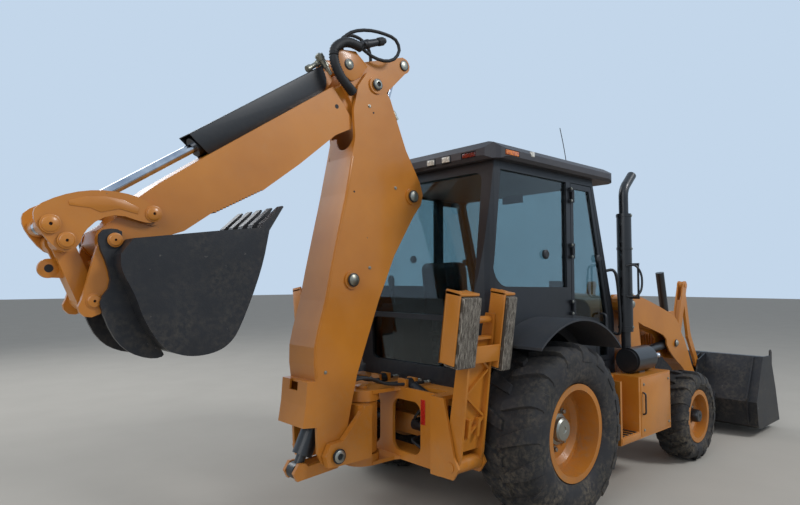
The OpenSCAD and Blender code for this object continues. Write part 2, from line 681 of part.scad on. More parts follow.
// Rear frame: top and bottom plates that meet at the swing pin, a back web and the stabiliser hinges
nose_r = 130;
nose_w = 135;
web_x = -860;
frame_top_z = 930;
frame_low_z = 420;
frame_y = 600;
frame_outline = [
  [-602, -frame_y], [web_x, -frame_y], [web_x, -nose_w - 20], [web_x - 40, -nose_w], [swing_x, -nose_w],
  [swing_x, nose_w], [web_x - 40, nose_w], [web_x, nose_w + 20], [web_x, frame_y], [-602, frame_y]
];
module rear_frame() {
  color(amber) place() {
    difference() {
      union() {
        for (z = [frame_low_z, frame_top_z - frame_plate]) {
          translate([0, 0, z]) linear_extrude(frame_plate) polygon(frame_outline);
          translate([swing_x, 0, z]) cylinder(r = nose_r, h = frame_plate);
        }
        for (z = [frame_low_z + frame_plate - 1, frame_top_z - frame_plate - 49])
          translate([swing_x, 0, z]) cylinder(r = nose_r, h = 50);
        // Back web with an opening each side
        difference() {
          block([web_x, -frame_y, frame_low_z + 1], [web_x + frame_plate, frame_y, frame_top_z - 1]);
          both() block([web_x - 1, 70, frame_low_z + 60], [web_x + frame_plate + 1, 360, frame_top_z - 85]);
        }
        both() block([-640, rail_gap / 2 - 40, frame_low_z + 1], [-602, frame_y, frame_top_z - 1]);
        both() stabiliser_bracket();
        both() leg_cylinder_lug();
      }
      translate([swing_x, 0, 0]) cylinder(r = 45 + bore_gap, h = 1500);
      // Slots over the stabiliser cylinders
      both() block([leg_cyl_x - 34, 95, frame_top_z - 60], [leg_cyl_x + 34, 204, frame_top_z + 1]);
      both() block([leg_cyl_x - 54, 203, frame_top_z - 60], [leg_cyl_x + 54, 500, frame_top_z + 1]);
    }
  }
}
bracket_gap = leg_w / 2 + side_gap;
ear_plate = 18;
module stabiliser_bracket() {
  for (x = [leg_x - bracket_gap - ear_plate, leg_x + bracket_gap])
    yz_plate([
      [520, frame_low_z + 1], [leg_hinge[0] + 20, leg_hinge[1] - 75], [leg_hinge[0] + 70, leg_hinge[1]],
      [leg_hinge[0] + 30, leg_hinge[1] + 70], [640, frame_top_z - 1], [520, frame_top_z - 1]
    ], x, ear_plate);
  for (z = [frame_low_z, frame_top_z - frame_plate])
    block([leg_x - bracket_gap - ear_plate, 520, z], [web_x + 20, frame_y, z + frame_plate]);
  translate([leg_x - bracket_gap - ear_plate - 8, leg_hinge[0], leg_hinge[1]]) rotate([0, 90, 0])
    cylinder(r = pin_r, h = 2 * bracket_gap + 2 * ear_plate + 12);
}
module leg_cylinder_lug() {
  for (s = [-1, 1])
    block([leg_cyl_x + s * 46 - 11, leg_cyl_base[0] - 45, frame_top_z - 20], [leg_cyl_x + s * 46 + 11, leg_cyl_base[0] + 45, leg_cyl_base[1] + 40]);
  translate([leg_cyl_x - 56, leg_cyl_base[0], leg_cyl_base[1]]) rotate([0, 90, 0]) cylinder(r = 22, h = 112);
}

// Stabiliser leg: a tapered box with X ribs, an eye at the hinge and a fork for the pad
module yz_point_bar(a, b, w, x0, t) {
  d = b - a;
  translate([x0, a[0], a[1]]) rotate([atan2(d[1], d[0]), 0, 0]) translate([0, 0, -w / 2]) cube([t, norm(d), w]);
}
module stabiliser_leg() {
  plate = 18;
  rib_x = leg_w / 2 - 14;
  rib_rise = 160;
  place() {
    difference() {
      union() {
        for (x = [leg_x - leg_w / 2, leg_x + leg_w / 2 - plate])
          yz_plate([leg_point(-45, -30), leg_point(-45, 40), leg_point(60, 70), leg_point(leg_len - 60, 50),
            leg_point(leg_len + 38, 36), leg_point(leg_len + 38, -35), leg_point(80, -56)], x, plate);
        yz_plate([leg_point(90, -14), leg_point(90, 4), leg_point(leg_len - 110, 4), leg_point(leg_len - 110, -14)],
          leg_x - leg_w / 2 + 1, leg_w - 2);
        // Zigzag rib on the outer face
        translate([leg_x, leg_hinge[0], leg_hinge[1]]) rotate([-leg_lean, 0, 0]) for (i = [0 : 3])
          xz_bar([(i % 2 == 0 ? -1 : 1) * rib_x, 150 + i * rib_rise], [(i % 2 == 0 ? 1 : -1) * rib_x, 150 + (i + 1) * rib_rise],
            14, 12, 26);
        translate([leg_x - leg_w / 2 + 1, leg_hinge[0], leg_hinge[1]]) rotate([-leg_lean, 0, 0])
          translate([0, 4, leg_len - 122]) cube([leg_w - 2, 32, 18]);
        translate([leg_x - leg_w / 2, leg_hinge[0], leg_hinge[1]]) rotate([0, 90, 0]) cylinder(r = 50, h = leg_w);
        for (s = [-1, 1])
          yz_plate([leg_point(190, -50), leg_point(200, 70), leg_point(235, 98), leg_point(265, 98), leg_point(300, 70),
            leg_point(310, -50)], leg_cyl_x + s * 46 - 11, 22);
      }
      translate([leg_x - leg_w, leg_hinge[0], leg_hinge[1]]) rotate([0, 90, 0]) cylinder(r = pin_r + bore_gap, h = leg_w * 2);
      translate([leg_x - leg_w, pad_pin[0], pad_pin[1]]) rotate([0, 90, 0]) cylinder(r = 24 + bore_gap, h = leg_w * 2);
    }
  }
}
module stabiliser_left() { color(amber) stabiliser_leg(); }
module stabiliser_right() { color(amber) mirror([0, 1, 0]) stabiliser_leg(); }

// Start in X, width, and length below the pin, of each pad block
pad_blocks = [[leg_x - leg_w / 2 - 190, 180, 270], [leg_x + leg_w / 2 + 10, 110, 330]];
// Flip pad: two blocks of laminated rubber in steel holders, joined by a bar, on one pin through the leg
module pad() {
  inside = leg_w / 2 + side_gap + 4;
  place() {
    for (b = pad_blocks)
      yz_plate([leg_point(leg_len - b[2], -88), leg_point(leg_len - b[2], -20), leg_point(leg_len - 60, 36),
        leg_point(leg_len + 50, 36), leg_point(leg_len + 190, -20), leg_point(leg_len + 190, -88)], b[0], b[1]);
    translate([leg_x - inside - 20, pad_pin[0], pad_pin[1]]) rotate([0, 90, 0]) cylinder(r = 24, h = 2 * inside + 40);
    yz_plate([leg_point(leg_len - 260, -88), leg_point(leg_len - 260, -74), leg_point(leg_len - 150, -74),
      leg_point(leg_len - 150, -88)], leg_x - inside - 2, 2 * inside + 4);
  }
}
module pad_left() { color(amber) pad(); }
module pad_right() { color(amber) mirror([0, 1, 0]) pad(); }

leg_reach = norm(leg_cyl_pin - leg_cyl_base);
leg_barrel_len = leg_reach - 75;
leg_cyl_angle = atan2(leg_cyl_pin[1] - leg_cyl_base[1], leg_cyl_pin[0] - leg_cyl_base[0]);
module on_leg_cylinder() {
  place() translate([leg_cyl_x, leg_cyl_base[0], leg_cyl_base[1]]) rotate([leg_cyl_angle, 0, 0]) children();
}
module stabiliser_barrel() {
  on_leg_cylinder() difference() {
    union() {
      rotate([-90, 0, 0]) translate([0, 0, 20]) cylinder(r = 26, h = 60);
      rotate([-90, 0, 0]) translate([0, 0, 68]) cylinder(r = 42, h = leg_barrel_len - 68);
      rotate([0, 90, 0]) cylinder(r = 40, h = 62, center = true);
    }
    rotate([0, 90, 0]) cylinder(r = 22 + bore_gap, h = 100, center = true);
    rotate([-90, 0, 0]) translate([0, 0, 90]) cylinder(r = 22 + bore_gap, h = leg_reach);
  }
}
module stabiliser_rod() {
  on_leg_cylinder() difference() {
    union() {
      rotate([-90, 0, 0]) translate([0, 0, 100]) cylinder(r = 22, h = leg_reach - 120);
      translate([0, leg_reach, 0]) rotate([0, 90, 0]) cylinder(r = 38, h = 52, center = true);
    }
    translate([0, leg_reach, 0]) rotate([0, 90, 0]) cylinder(r = 22, h = 100, center = true);
  }
}
module stabiliser_barrel_left() { color(black) stabiliser_barrel(); }
module stabiliser_barrel_right() { color(black) mirror([0, 1, 0]) stabiliser_barrel(); }
module stabiliser_rod_left() { color(steel) stabiliser_rod(); }
module stabiliser_rod_right() { color(steel) mirror([0, 1, 0]) stabiliser_rod(); }

// Swing post: a hub on the swing pin, two ears for the boom foot and a lug for the boom cylinder
post_low = frame_low_z + frame_plate + 50 + 5;
post_top = frame_top_z - frame_plate - 50 - 5;
ear_y = boom_w / 2 + side_gap;
ear_t = 44;
module swing_post() {
  color(amber) place() difference() {
    union() {
      translate([swing_x, 0, post_low]) cylinder(r = 115, h = post_top - post_low);
      translate([swing_x, 0, frame_low_z - 20]) cylinder(r = 45, h = frame_top_z - frame_low_z + 40);
      both() xz_plate([
        [swing_x - 60, post_low], [swing_x - 60, post_top], [swing_x - 110, post_top], [boom_foot[0] + 40, boom_foot[1] + 88],
        [boom_foot[0] - 60, boom_foot[1] + 80], [boom_foot[0] - 96, boom_foot[1] + 10], [boom_foot[0] - 75, boom_foot[1] - 62],
        [boom_foot[0], post_low]
      ], ear_y, ear_t);
      block([swing_x - 145, -ear_y - 1, post_low], [swing_x - 60, ear_y + 1, post_top]);
      both() y_bar(boom_foot, pin_r, boom_w / 2 - boom_plate - 4, ear_y + ear_t + 14);
      both() xz_plate([
        [swing_x - 110, post_low], [swing_x - 110, post_low + 110], [swing_x - 145, post_low + 110], [swing_x - 220, post_low + 20],
        [boom_cyl_base[0] + 50, boom_cyl_base[1] + 28], [boom_cyl_base[0] + 30, boom_cyl_base[1] + 52],
        [boom_cyl_base[0] - 20, boom_cyl_base[1] + 56], [boom_cyl_base[0] - 58, boom_cyl_base[1]],
        [boom_cyl_base[0] - 30, boom_cyl_base[1] - 52], [swing_x - 250, post_low - 60], [swing_x - 160, post_low]
      ], 42, 26);
      y_bar(boom_cyl_base, pin_r, -66, 66);
    }
    // Room for the boom's foot as it swings down
    y_bar(boom_foot, 150, -boom_w / 2 + boom_plate + 5, -75);
    y_bar(boom_foot, 150, 75, boom_w / 2 - boom_plate - 5);
  }
}

// Boom: two shaped side plates, joined by a rear cover, a front plate, a guard box and pin bosses
boom_front = [
  bt(80, 5), bt(-55, -145), bt(-380, -345), bt(-580, -515), bt(-670, -560), bt(-745, -550), bt(-855, -485),
  bt(-1170, -340), bm(1115, -265), bm(1035, -240), bm(515, -120), bm(220, -90), bm(-60, -75)
];
boom_back = [bm(-75, 0), bm(-60, 75), bm(5, 125), bm(220, 165), bm(450, 205), bm(555, 234), bm(670, 249), bm(780, 240),
  bm(975, 212), bm(1180, 198), bm(1415, 177), bt(-830, 150), bt(-425, 125), bt(-240, 165), bt(-60, 150), bt(60, 90)];
module boom() {
  outer = boom_w / 2;
  color(amber) place() {
    difference() {
      union() {
        for (y = [-outer, outer - boom_plate])
          xz_plate(concat(boom_front, boom_back), y, boom_plate);
        // Rear cover and guard box
        xz_plate([bm(440, 190), bm(440, 204), bm(555, 236), bm(670, 251), bm(780, 242), bm(975, 214), bm(1180, 200),
          bm(1415, 179), bt(-830, 152), bt(-560, 134), bt(-560, 120), bt(-830, 138), bm(1415, 165), bm(1180, 186), bm(975, 200),
          bm(780, 228), bm(670, 237), bm(555, 222)], -outer + 1, boom_w - 2);
        difference() {
          xz_plate([bm(172, 248), bm(168, 262), bm(300, 260), bm(452, 270), bm(462, 203), bm(448, 201), bm(438, 254),
            bm(300, 246)], -outer + 1, boom_w - 2);
          // Notch in its upper edge
          block([-1800, -40, 985], [-1628, 57, 1200]);
        }
        for (y = [-outer, outer - 16])
          xz_plate([bm(172, 140), bm(168, 262), bm(300, 260), bm(452, 270), bm(462, 200)], y, 16);
        // Front plate low down and at the bend
        xz_plate([bm(110, -84), bm(270, -97), bm(270, -84), bm(110, -71)], -outer + 1, boom_w - 2);
        xz_plate([bt(-400, -338), bt(-580, -500), bt(-640, -535), bt(-640, -520), bt(-580, -485), bt(-400, -322)],
          -outer + 1, boom_w - 2);
        for (p = [boom_cyl_pin, dipper_cyl_base, boom_tip], side = [-1, 1])
          y_bar(p, 62, side > 0 ? outer - 1 : -outer - 12, side > 0 ? outer + 12 : -outer + 1);
        both() y_bar(boom_cyl_pin, pin_r, 44, outer + 22);
        y_bar(dipper_cyl_base, pin_r, -outer - 22, outer + 22);
        y_bar(boom_tip, pin_r, -outer - 22, outer + 22);
        both() y_bar(boom_cyl_pin, 60, 42, outer - 1);
      }
      both() y_bar(boom_foot, pin_r + bore_gap, 0, outer + 30);
    }
  }
}

boom_cyl_len = 1440;
dipper_cyl_len = 930;
bucket_cyl_len = 1080;
module boom_barrel() {
  color(black) place() barrel(boom_cyl_base, boom_cyl_pin, boom_barrel_r, boom_cyl_len, 72, pin_r, rod_r + 6);
}
module boom_rod() {
  color(steel) place() rod_with_eye(boom_cyl_base, boom_cyl_pin, rod_r + 6, 700, 72, pin_r, boom_cyl_len);
}
module dipper_barrel() {
  color(black) place() barrel(dipper_cyl_base, dipper_tail, dipper_barrel_r, dipper_cyl_len, 72, pin_r, rod_r);
}
module dipper_rod() {
  color(steel) place() rod_with_eye(dipper_cyl_base, dipper_tail, rod_r, 170, 72, pin_r, dipper_cyl_len);
}
module bucket_barrel() {
  color(black) place() barrel(bucket_cyl_base, bucket_cyl_pin, bucket_barrel_r, bucket_cyl_len, 72, 26, rod_r - 2);
}
module bucket_rod() {
  color(steel) place() rod_with_eye(bucket_cyl_base, bucket_cyl_pin, rod_r - 2, 200, 60, 26, bucket_cyl_len);
}

// Dipper: the casting on the boom's pin, with the tail for its cylinder, and the inner beam that the arm slides on
beam_w = arm_w - 48;
module dipper() {
  half = boom_w / 2 - boom_plate - side_gap;
  tail_t = 34;
  color(amber) place() difference() {
    union() {
      xz_plate([dp(150, -110), dp(150, 110), dp(dipper_len - 420, 92), dp(dipper_len - 420, -92)], -beam_w / 2, beam_w);
      both() xz_plate([
        dipper_tail + [-10, 62], dipper_tail + [62, 10], dipper_tail + [10, -62], dp(-60, 95), dp(60, 130), dp(250, 110),
        dp(250, -110), dipper_ear + [-50, 20], dipper_ear + [-10, 60], dipper_ear + [60, 20], dp(40, -190)
      ], half - tail_t, tail_t);
      y_bar(boom_tip, 92, -half, half);
      both() y_bar(dipper_tail, 58, 42, half);
      y_bar(dipper_ear, 30, -half - 12, half + 12);
    }
    y_bar(boom_tip, pin_r + bore_gap, -200, 200);
  }
}
// Sliding arm: a box over the inner beam, with the bucket pin, the guide pin and the bucket cylinder's lug
grip_edge = [
  for (i = [0 : 15]) for (side = [0, 1]) dp(1190 + i * 22 + side * 11, 200 - i * 2.4 - side * 12)
];
module dipper_arm() {
  outer = arm_w / 2;
  color(amber) place() difference() {
    union() {
      xz_plate([
        dp(335, -132), dp(310, 122), dp(355, 170), dp(500, 150), dp(865, 185),
        each grip_edge, dt(-350, 155), dt(-220, 120), dt(-40, 85), dt(60, 40), dt(70, -30), dt(20, -76), dt(-62, -77), dt(-140, -108), dt(-375, -130), dt(-720, -134)
      ], -outer, arm_w);
      both() y_bar(bucket_pin, 75, outer - 2, outer + 14);
      both() y_bar(guide_pin, 60, outer - 2, outer + 10);
      y_bar(bucket_pin, pin_r, -outer - 86, outer + 86);
      y_bar(guide_pin, 26, -outer - 44, outer + 44);
      both() xz_plate([dp(345, -130), dp(268, -168), dp(260, -220), dp(300, -246), dp(346, -226), dp(374, -160),
        dp(405, -128)], 40, 24);
      y_bar(bucket_cyl_base, 26, -64, 64);
    }
    // The channel for the inner beam
    xz_plate([dp(200, -116), dp(200, 116), dp(dipper_len - 380, 98), dp(dipper_len - 380, -98)], -beam_w / 2 - 5, beam_w + 10);
  }
  // Wear pads at the channel's mouth
  color(amber) place() both()
    xz_plate([dp(350, -60), dp(350, 60), dp(480, 60), dp(480, -60)], beam_w / 2 + bore_gap, 6 - bore_gap);
}

// Guide links: a pair of curved plates, with the rod's bosses and the bucket link's pin
link_y = arm_w / 2 + 16;
link_t = 26;
module guide_links() {
  color(amber) place() {
    both() difference() {
      xz_plate(softened([
        guide_pin + [44, 7], guide_pin + [-14, 55], guide_pin + [-99, 89], guide_pin + [-218, 102], guide_pin + [-331, 90],
        guide_pin + [-437, 55], bucket_cyl_pin + [-59, 83], bucket_cyl_pin + [-70, 36], bucket_cyl_pin + [-48, -23],
        link_pin + [-47, -38], link_pin + [7, -60], link_pin + [58, -20], link_pin + [74, 44], guide_pin + [-261, -42],
        guide_pin + [-169, -15], guide_pin + [-57, -47], guide_pin + [4, -49]
      ]), link_y, link_t);
      y_bar(guide_pin, 26 + bore_gap, 0, 300);
    }
    both() y_bar(bucket_cyl_pin, 26, 36, link_y + link_t + 12);
    both() y_bar(bucket_cyl_pin, 46, 36, link_y + 1);
    both() y_bar(link_pin, 26, 40, link_y + link_t + 12);
    y_bar([guide_pin[0] - 228, guide_pin[1] + 18], 18, -link_y - 1, link_y + 1);
  }
}
// Bucket link: from the guide links to the coupler
module bucket_link() {
  half = 66;
  color(amber) place() difference() {
    union() {
      xz_bar(link_pin, coupler_pin, 100, -half, 2 * half);
      both() y_bar(link_pin, 54, 38, link_y - 6);
      y_bar(coupler_pin, 52, -half, half);
    }
    y_bar(link_pin, 26 + bore_gap, -300, 300);
    y_bar(link_pin, 118, -37, 37);
    y_bar(coupler_pin, 26, -300, 300);
  }
}
// Coupler: two plates on the bucket pin, joined below, that carry the bucket
coupler_y = arm_w / 2 + 20;
coupler_outline = softened([
  bucket_pin + [-72, -20], bucket_pin + [-30, 62], bucket_pin + [45, 55], bucket_pin + [70, 0], bucket_pin + [10, -190],
  coupler_pin + [70, 60], coupler_pin + [48, -56], coupler_pin + [-29, -86], coupler_pin + [-76, -40], coupler_pin + [-50, 20]
]);
module coupler() {
  color(amber) place() {
    both() difference() {
      xz_plate(coupler_outline, coupler_y, 30);
      y_bar(bucket_pin, pin_r + bore_gap, 0, 300);
    }
    both() y_bar(coupler_pin, 26, 74, coupler_y + 29);
    both() y_bar(coupler_pin, 44, 74, coupler_y + 1);
    y_bar(bucket_pin + [-22, -107], 16, -coupler_y - 1, coupler_y + 1);
  }
}
// Hoe bucket: a curved shell with side plates, ears and teeth
function hp(x, z) = [bucket_pin[0] + x, bucket_pin[1] + z];
hoe_side = concat([hp(57, 7), hp(500, 70), hp(752, 102)], curve(curve([
  hp(800, 102), hp(752, -141), hp(622, -472), hp(553, -555), hp(464, -590), hp(345, -596), hp(237, -561), hp(181, -505),
  hp(112, -393), hp(66, -261), hp(1, -150), hp(-1, -73)
])));
hoe_inner = concat(curve(curve([
  hp(70, -20), hp(60, -70), hp(90, -240), hp(134, -385), hp(200, -490), hp(250, -540), hp(350, -572), hp(460, -566),
  hp(540, -535), hp(602, -460), hp(730, -135), hp(780, 104)
])), [hp(500, 90)]);
module hoe_bucket() {
  plate = 22;
  color(black) place() {
    difference() {
      xz_plate(hoe_side, -hoe_w / 2, hoe_w);
      xz_plate(concat(hoe_inner, [hp(700, 300), hp(70, 300)]), -hoe_w / 2 + plate, hoe_w - 2 * plate);
      both() y_bar(bucket_pin, pin_r + 4, 0, 400);
      y_bar(bucket_pin, 96, -coupler_y - 20, coupler_y + 20);
      both() xz_plate(coupler_outline, coupler_y - 4, 34);
    }
    for (i = [0 : 4])
      xz_plate([hp(745, 60), hp(790, 60), hp(900, 235), hp(890, 240), hp(770, 130)],
        -hoe_w / 2 + 20 + i * (hoe_w - 100) / 4, 60);
    both() difference() {
      xz_plate(softened([
        hp(-2, 60), hp(-69, 46), hp(-72, -28), hp(-29, -124), hp(-9, -223), hp(-61, -295), hp(-56, -334), hp(-3, -468),
        hp(59, -546), hp(131, -587), hp(205, -604), hp(256, -593), hp(240, -560), hp(110, -390), hp(66, -255), hp(5, -150),
        hp(46, 40)
      ]), coupler_y + 30, 26);
      y_bar(bucket_pin, pin_r + bore_gap, 0, 400);
    }
  }
}

// Loader arms: two shaped boxes joined by a cross tube, with the levers' pivots on their inner sides
tilt_y = arm_y - arm_t / 2 - 60;
module loader_arms() {
  inner = arm_y - arm_t / 2;
  color(amber) place() {
    both() difference() {
      union() {
        xz_plate(softened([
          arm_pivot + [-70, -50], arm_pivot + [-80, 40], arm_pivot + [-40, 78], arm_pivot + [60, 82], arm_pivot + [166, 78],
          [1941, 1466], [2343, 1346], [2458, 1270], [2490, 1199], [2649, 1022], [2803, 743], cross_tube + [100, 40],
          loader_pin + [20, 72], loader_pin + [68, 30], loader_pin + [62, -30], loader_pin + [10, -70], loader_pin + [-60, -50],
          cross_tube + [-60, -90], [2770, 590], [2640, 720], [2510, 820], [2391, 880], [2187, 1030], [2168, 1138], [1928, 1210],
          [1604, 1292], arm_pivot + [20, -80]
        ]), inner, arm_t);
        xz_plate([[2450, 1240], [2640, 1100], tilt_pivot + [-40, 58], tilt_pivot + [35, 48], tilt_pivot + [58, 0],
          tilt_pivot + [40, -50], [2740, 860], [2500, 900]], inner, 24);
        // Bracket for the tilt cylinder's trunnion
        xz_plate([[2440, 1280], [2520, 1370], tilt_trunnion + [-20, 44], tilt_trunnion + [30, 40], tilt_trunnion + [48, 0],
          [2640, 1220], [2600, 1080], [2460, 1200]], inner, 24);
      }
      y_bar(arm_pivot, loader_pin_r + bore_gap, 0, 1000);
      y_bar(loader_pin, loader_pin_r + bore_gap, 0, 1000);
      // Slot for the lift rod's eye
      xz_plate([[1880, 1000], [1880, 1235], [2100, 1205], [2300, 1190], [2440, 1165], [2470, 1110], [2466, 1010], [2420, 940],
        [2300, 850], [2100, 850]],
        arm_y - 51, 102);
    }
    y_bar(cross_tube, cross_tube_r, -inner - 1, inner + 1);
    both() y_bar(tilt_pivot, loader_pin_r, tilt_y - 42, inner + 1);
    both() y_bar(tilt_trunnion, 20, tilt_y + 30, inner + 1);
    both() y_bar(lift_pin, loader_pin_r + 10, arm_y + arm_t / 2 - 1, arm_y + arm_t / 2 + 10);
  }
}
lift_len = 775;
module lift_barrels() {
  color(black) place() both() barrel(lift_base, lift_pin, lift_barrel_r, lift_len, 56, loader_pin_r, 26, arm_y);
}
module lift_rods() {
  color(steel) place() both() rod_with_eye(lift_base, lift_pin, 26, 640, 50, loader_pin_r, lift_len, arm_y);
}
// Tilt levers: pairs of plates from the rod's pin, over the pivot, up to the link
module tilt_levers() {
  color(amber) place() both() {
    difference() {
      for (y = [tilt_y - 35, tilt_y + 21]) {
        xz_bar(tilt_rod_pin, tilt_pivot, 76, y + 1, 12);
        xz_bar(tilt_pivot, link_top, 92, y, 14);
        y_bar(tilt_rod_pin, 41, y - 1, y + 15);
        y_bar(tilt_pivot, 54, y - 2, y + 16);
        y_bar(link_top, 49, y - 1, y + 15);
      }
      y_bar(tilt_pivot, loader_pin_r + bore_gap, 0, 1000);
    }
    y_bar(link_top, loader_pin_r - 3, tilt_y - 42, tilt_y + 42);
    // Cross plate between the two sides of a lever
    xz_bar(tilt_pivot + [17, 132], link_top + [-91, -161], 12, tilt_y - 34, 68);
  }
}
module tilt_links() {
  y = tilt_y - 15;
  color(amber) place() both() difference() {
    union() {
      xz_bar(link_top, link_kink, 76, y, 30);
      xz_bar(link_kink, link_low, 80, y + 1, 28);
      y_bar(link_top, 44, y - 1, y + 31);
      y_bar(link_kink, 43, y - 1, y + 31);
      y_bar(link_low, 45, y - 1, y + 31);
    }
    y_bar(link_top, loader_pin_r - 3 + bore_gap, 0, 1000);
    y_bar(link_low, loader_pin_r - 3, 0, 1000);
  }
}
tilt_angle = angle_of(tilt_trunnion, tilt_rod_pin);
tilt_reach = norm(tilt_rod_pin - tilt_trunnion);
module tilt_barrels() {
  color(black) place() both() difference() {
    union() {
      xz_rod(tilt_trunnion, tilt_angle, tilt_barrel_r, -460, 100, tilt_y);
      xz_rod(tilt_trunnion, tilt_angle, tilt_barrel_r + 5, -30, 100, tilt_y);
      y_bar(tilt_trunnion, 32, tilt_y, tilt_y + 54);
    }
    y_bar(tilt_trunnion, 20 + bore_gap, tilt_y + 26, tilt_y + 60);
    xz_rod(tilt_trunnion, tilt_angle, 22 + bore_gap, -420, 101, tilt_y);
  }
}
module tilt_rods() {
  color(steel) place() both() difference() {
    union() {
      xz_rod(tilt_trunnion, tilt_angle, 22, -100, tilt_reach - 70, tilt_y);
      xz_bar(tilt_rod_pin + 90 * along(tilt_angle + 180), tilt_rod_pin, 42, tilt_y - 14, 28);
      y_bar(tilt_rod_pin, 34, tilt_y - 15, tilt_y + 15);
    }
    y_bar(tilt_rod_pin, 20, tilt_y - 50, tilt_y + 50);
  }
}

edge_bolts = 8;
edge_bolt_gap = 290;
edge_bolt_r = 10;
edge_bolt_x = 3960;
// Loader bucket: a curved floor and back, side plates, a cutting edge and lugs on the back
module loader_bucket() {
  floor_z = 95;
  gap = arm_t / 2 + side_gap;
  color(black) place() {
    difference() {
      xz_plate([[3380, 132], [3344, 388], [3586, 855], [3855, 848], [3997, 480], [4110, floor_z + 4], [4110, floor_z], [3450, floor_z]],
        -loader_w / 2, loader_w);
      xz_plate([[3400, 142], [3365, 386], [3600, 835], [3900, 900], [4300, 480], [4200, floor_z + 20], [3460, floor_z + 20]],
        -loader_w / 2 + bucket_plate, loader_w - 2 * bucket_plate);
      for (i = [0 : edge_bolts - 1])
        translate([edge_bolt_x, (i - (edge_bolts - 1) / 2) * edge_bolt_gap, floor_z - 1]) cylinder(r = edge_bolt_r, h = 40);
    }
    both() for (y = [arm_y - gap - 16, arm_y + gap])
      xz_plate([loader_pin + [-20, -58], loader_pin + [-60, -10], loader_pin + [-40, 48], loader_pin + [20, 90],
        [3356, 450], [3352, 388], [3386, 140], [3370, 135]], y, 16);
    for (y = [-1090, -360, 0, 360, 1090])
      xz_plate([[3388, 136], [3352, 380], [3594, 852], [3566, 846], [3312, 420], [3352, 140]], y - 7, 14);
    both() xz_plate([[3835, 820], [3850, 900], [3880, 912], [3905, 880], [3895, 720]], loader_w / 2 - 15, 14);
    both() y_bar(loader_pin, loader_pin_r, arm_y - gap - 20, arm_y + gap + 26);
    both() for (y = [tilt_y - 35, tilt_y + 21])
      xz_plate([[3352, 398], [3300, 640], link_low + [-46, 0], link_low + [-30, 48], link_low + [20, 56], [3576, 846], [3590, 840]],
        y, 14);
  }
}

chassis_frame();
rear_axle();
front_axle();
engine_block();
rear_frame();
side_boxes();
cab_frame();
cab_roof();
cab_glass();
fenders();
cab_interior();
exhaust();
lamps();
swing_cylinders();
hood();
grille();
door_left();
door_left_glass();
door_right();
door_right_glass();
knuckle_left();
knuckle_right();
front_tyre_left();
front_rim_left();
front_tyre_right();
front_rim_right();
rear_tyre_left();
rear_rim_left();
rear_tyre_right();
rear_rim_right();
swing_post();
boom();
boom_barrel();
boom_rod();
dipper();
dipper_arm();
dipper_barrel();
dipper_rod();
bucket_barrel();
bucket_rod();
guide_links();
bucket_link();
coupler();
hoe_bucket();
stabiliser_left();
stabiliser_right();
pad_left();
pad_right();
stabiliser_barrel_left();
stabiliser_barrel_right();
stabiliser_rod_left();
stabiliser_rod_right();
loader_arms();
lift_barrels();
lift_rods();
tilt_levers();
tilt_links();
tilt_barrels();
tilt_rods();
loader_bucket();
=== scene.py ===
"""Looks of a backhoe loader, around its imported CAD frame. Lengths are metres, in the CAD's own frame."""
import json
import math

import bmesh
import bpy
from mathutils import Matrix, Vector


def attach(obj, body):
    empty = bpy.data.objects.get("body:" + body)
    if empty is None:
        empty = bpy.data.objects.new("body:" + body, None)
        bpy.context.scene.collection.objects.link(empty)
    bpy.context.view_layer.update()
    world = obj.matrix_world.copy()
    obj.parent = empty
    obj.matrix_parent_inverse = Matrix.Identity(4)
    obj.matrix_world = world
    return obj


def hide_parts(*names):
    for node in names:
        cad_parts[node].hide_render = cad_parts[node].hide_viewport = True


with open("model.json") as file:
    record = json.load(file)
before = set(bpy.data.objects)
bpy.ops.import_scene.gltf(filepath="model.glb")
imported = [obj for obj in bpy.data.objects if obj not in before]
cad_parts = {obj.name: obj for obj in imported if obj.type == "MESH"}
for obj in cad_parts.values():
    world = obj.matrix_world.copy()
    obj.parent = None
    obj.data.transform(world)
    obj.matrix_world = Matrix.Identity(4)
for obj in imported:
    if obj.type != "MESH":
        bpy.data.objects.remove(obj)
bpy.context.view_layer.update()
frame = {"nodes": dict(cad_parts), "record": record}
nodes = frame["nodes"]
scene = bpy.context.scene

SIDES = (1, -1)
LABELS = {1: "left", -1: "right"}


# The machine's own pins and sizes, as (x, z). X 0 is the rear axle here, and place() moves it into the frame.

def along(degrees):
    return Vector((math.cos(math.radians(degrees)), math.sin(math.radians(degrees))))


def from_line(start, degrees, u, v):
    """A point u along a line and v to its left, as (x, z)."""
    way = along(degrees)
    return Vector((start[0] + u * way[0] - v * way[1], start[1] + u * way[1] + v * way[0]))


BOOM_FOOT = Vector((-1.440, 0.566))
BOOM_ANGLE = 82.1
BOOM_LENGTH = 2.538
DIPPER_ANGLE = 214.66
DIPPER_LENGTH = 2.087
BOOM_TIP = from_line(BOOM_FOOT, BOOM_ANGLE, BOOM_LENGTH, 0)


def on_boom(u, v):
    return from_line(BOOM_FOOT, BOOM_ANGLE, u, v)


def on_boom_end(u, v):
    return from_line(BOOM_FOOT, BOOM_ANGLE, BOOM_LENGTH + u, v)


def on_dipper(u, v):
    return from_line(BOOM_TIP, DIPPER_ANGLE, u, v)


def on_dipper_end(u, v):
    return from_line(BOOM_TIP, DIPPER_ANGLE, DIPPER_LENGTH + u, v)


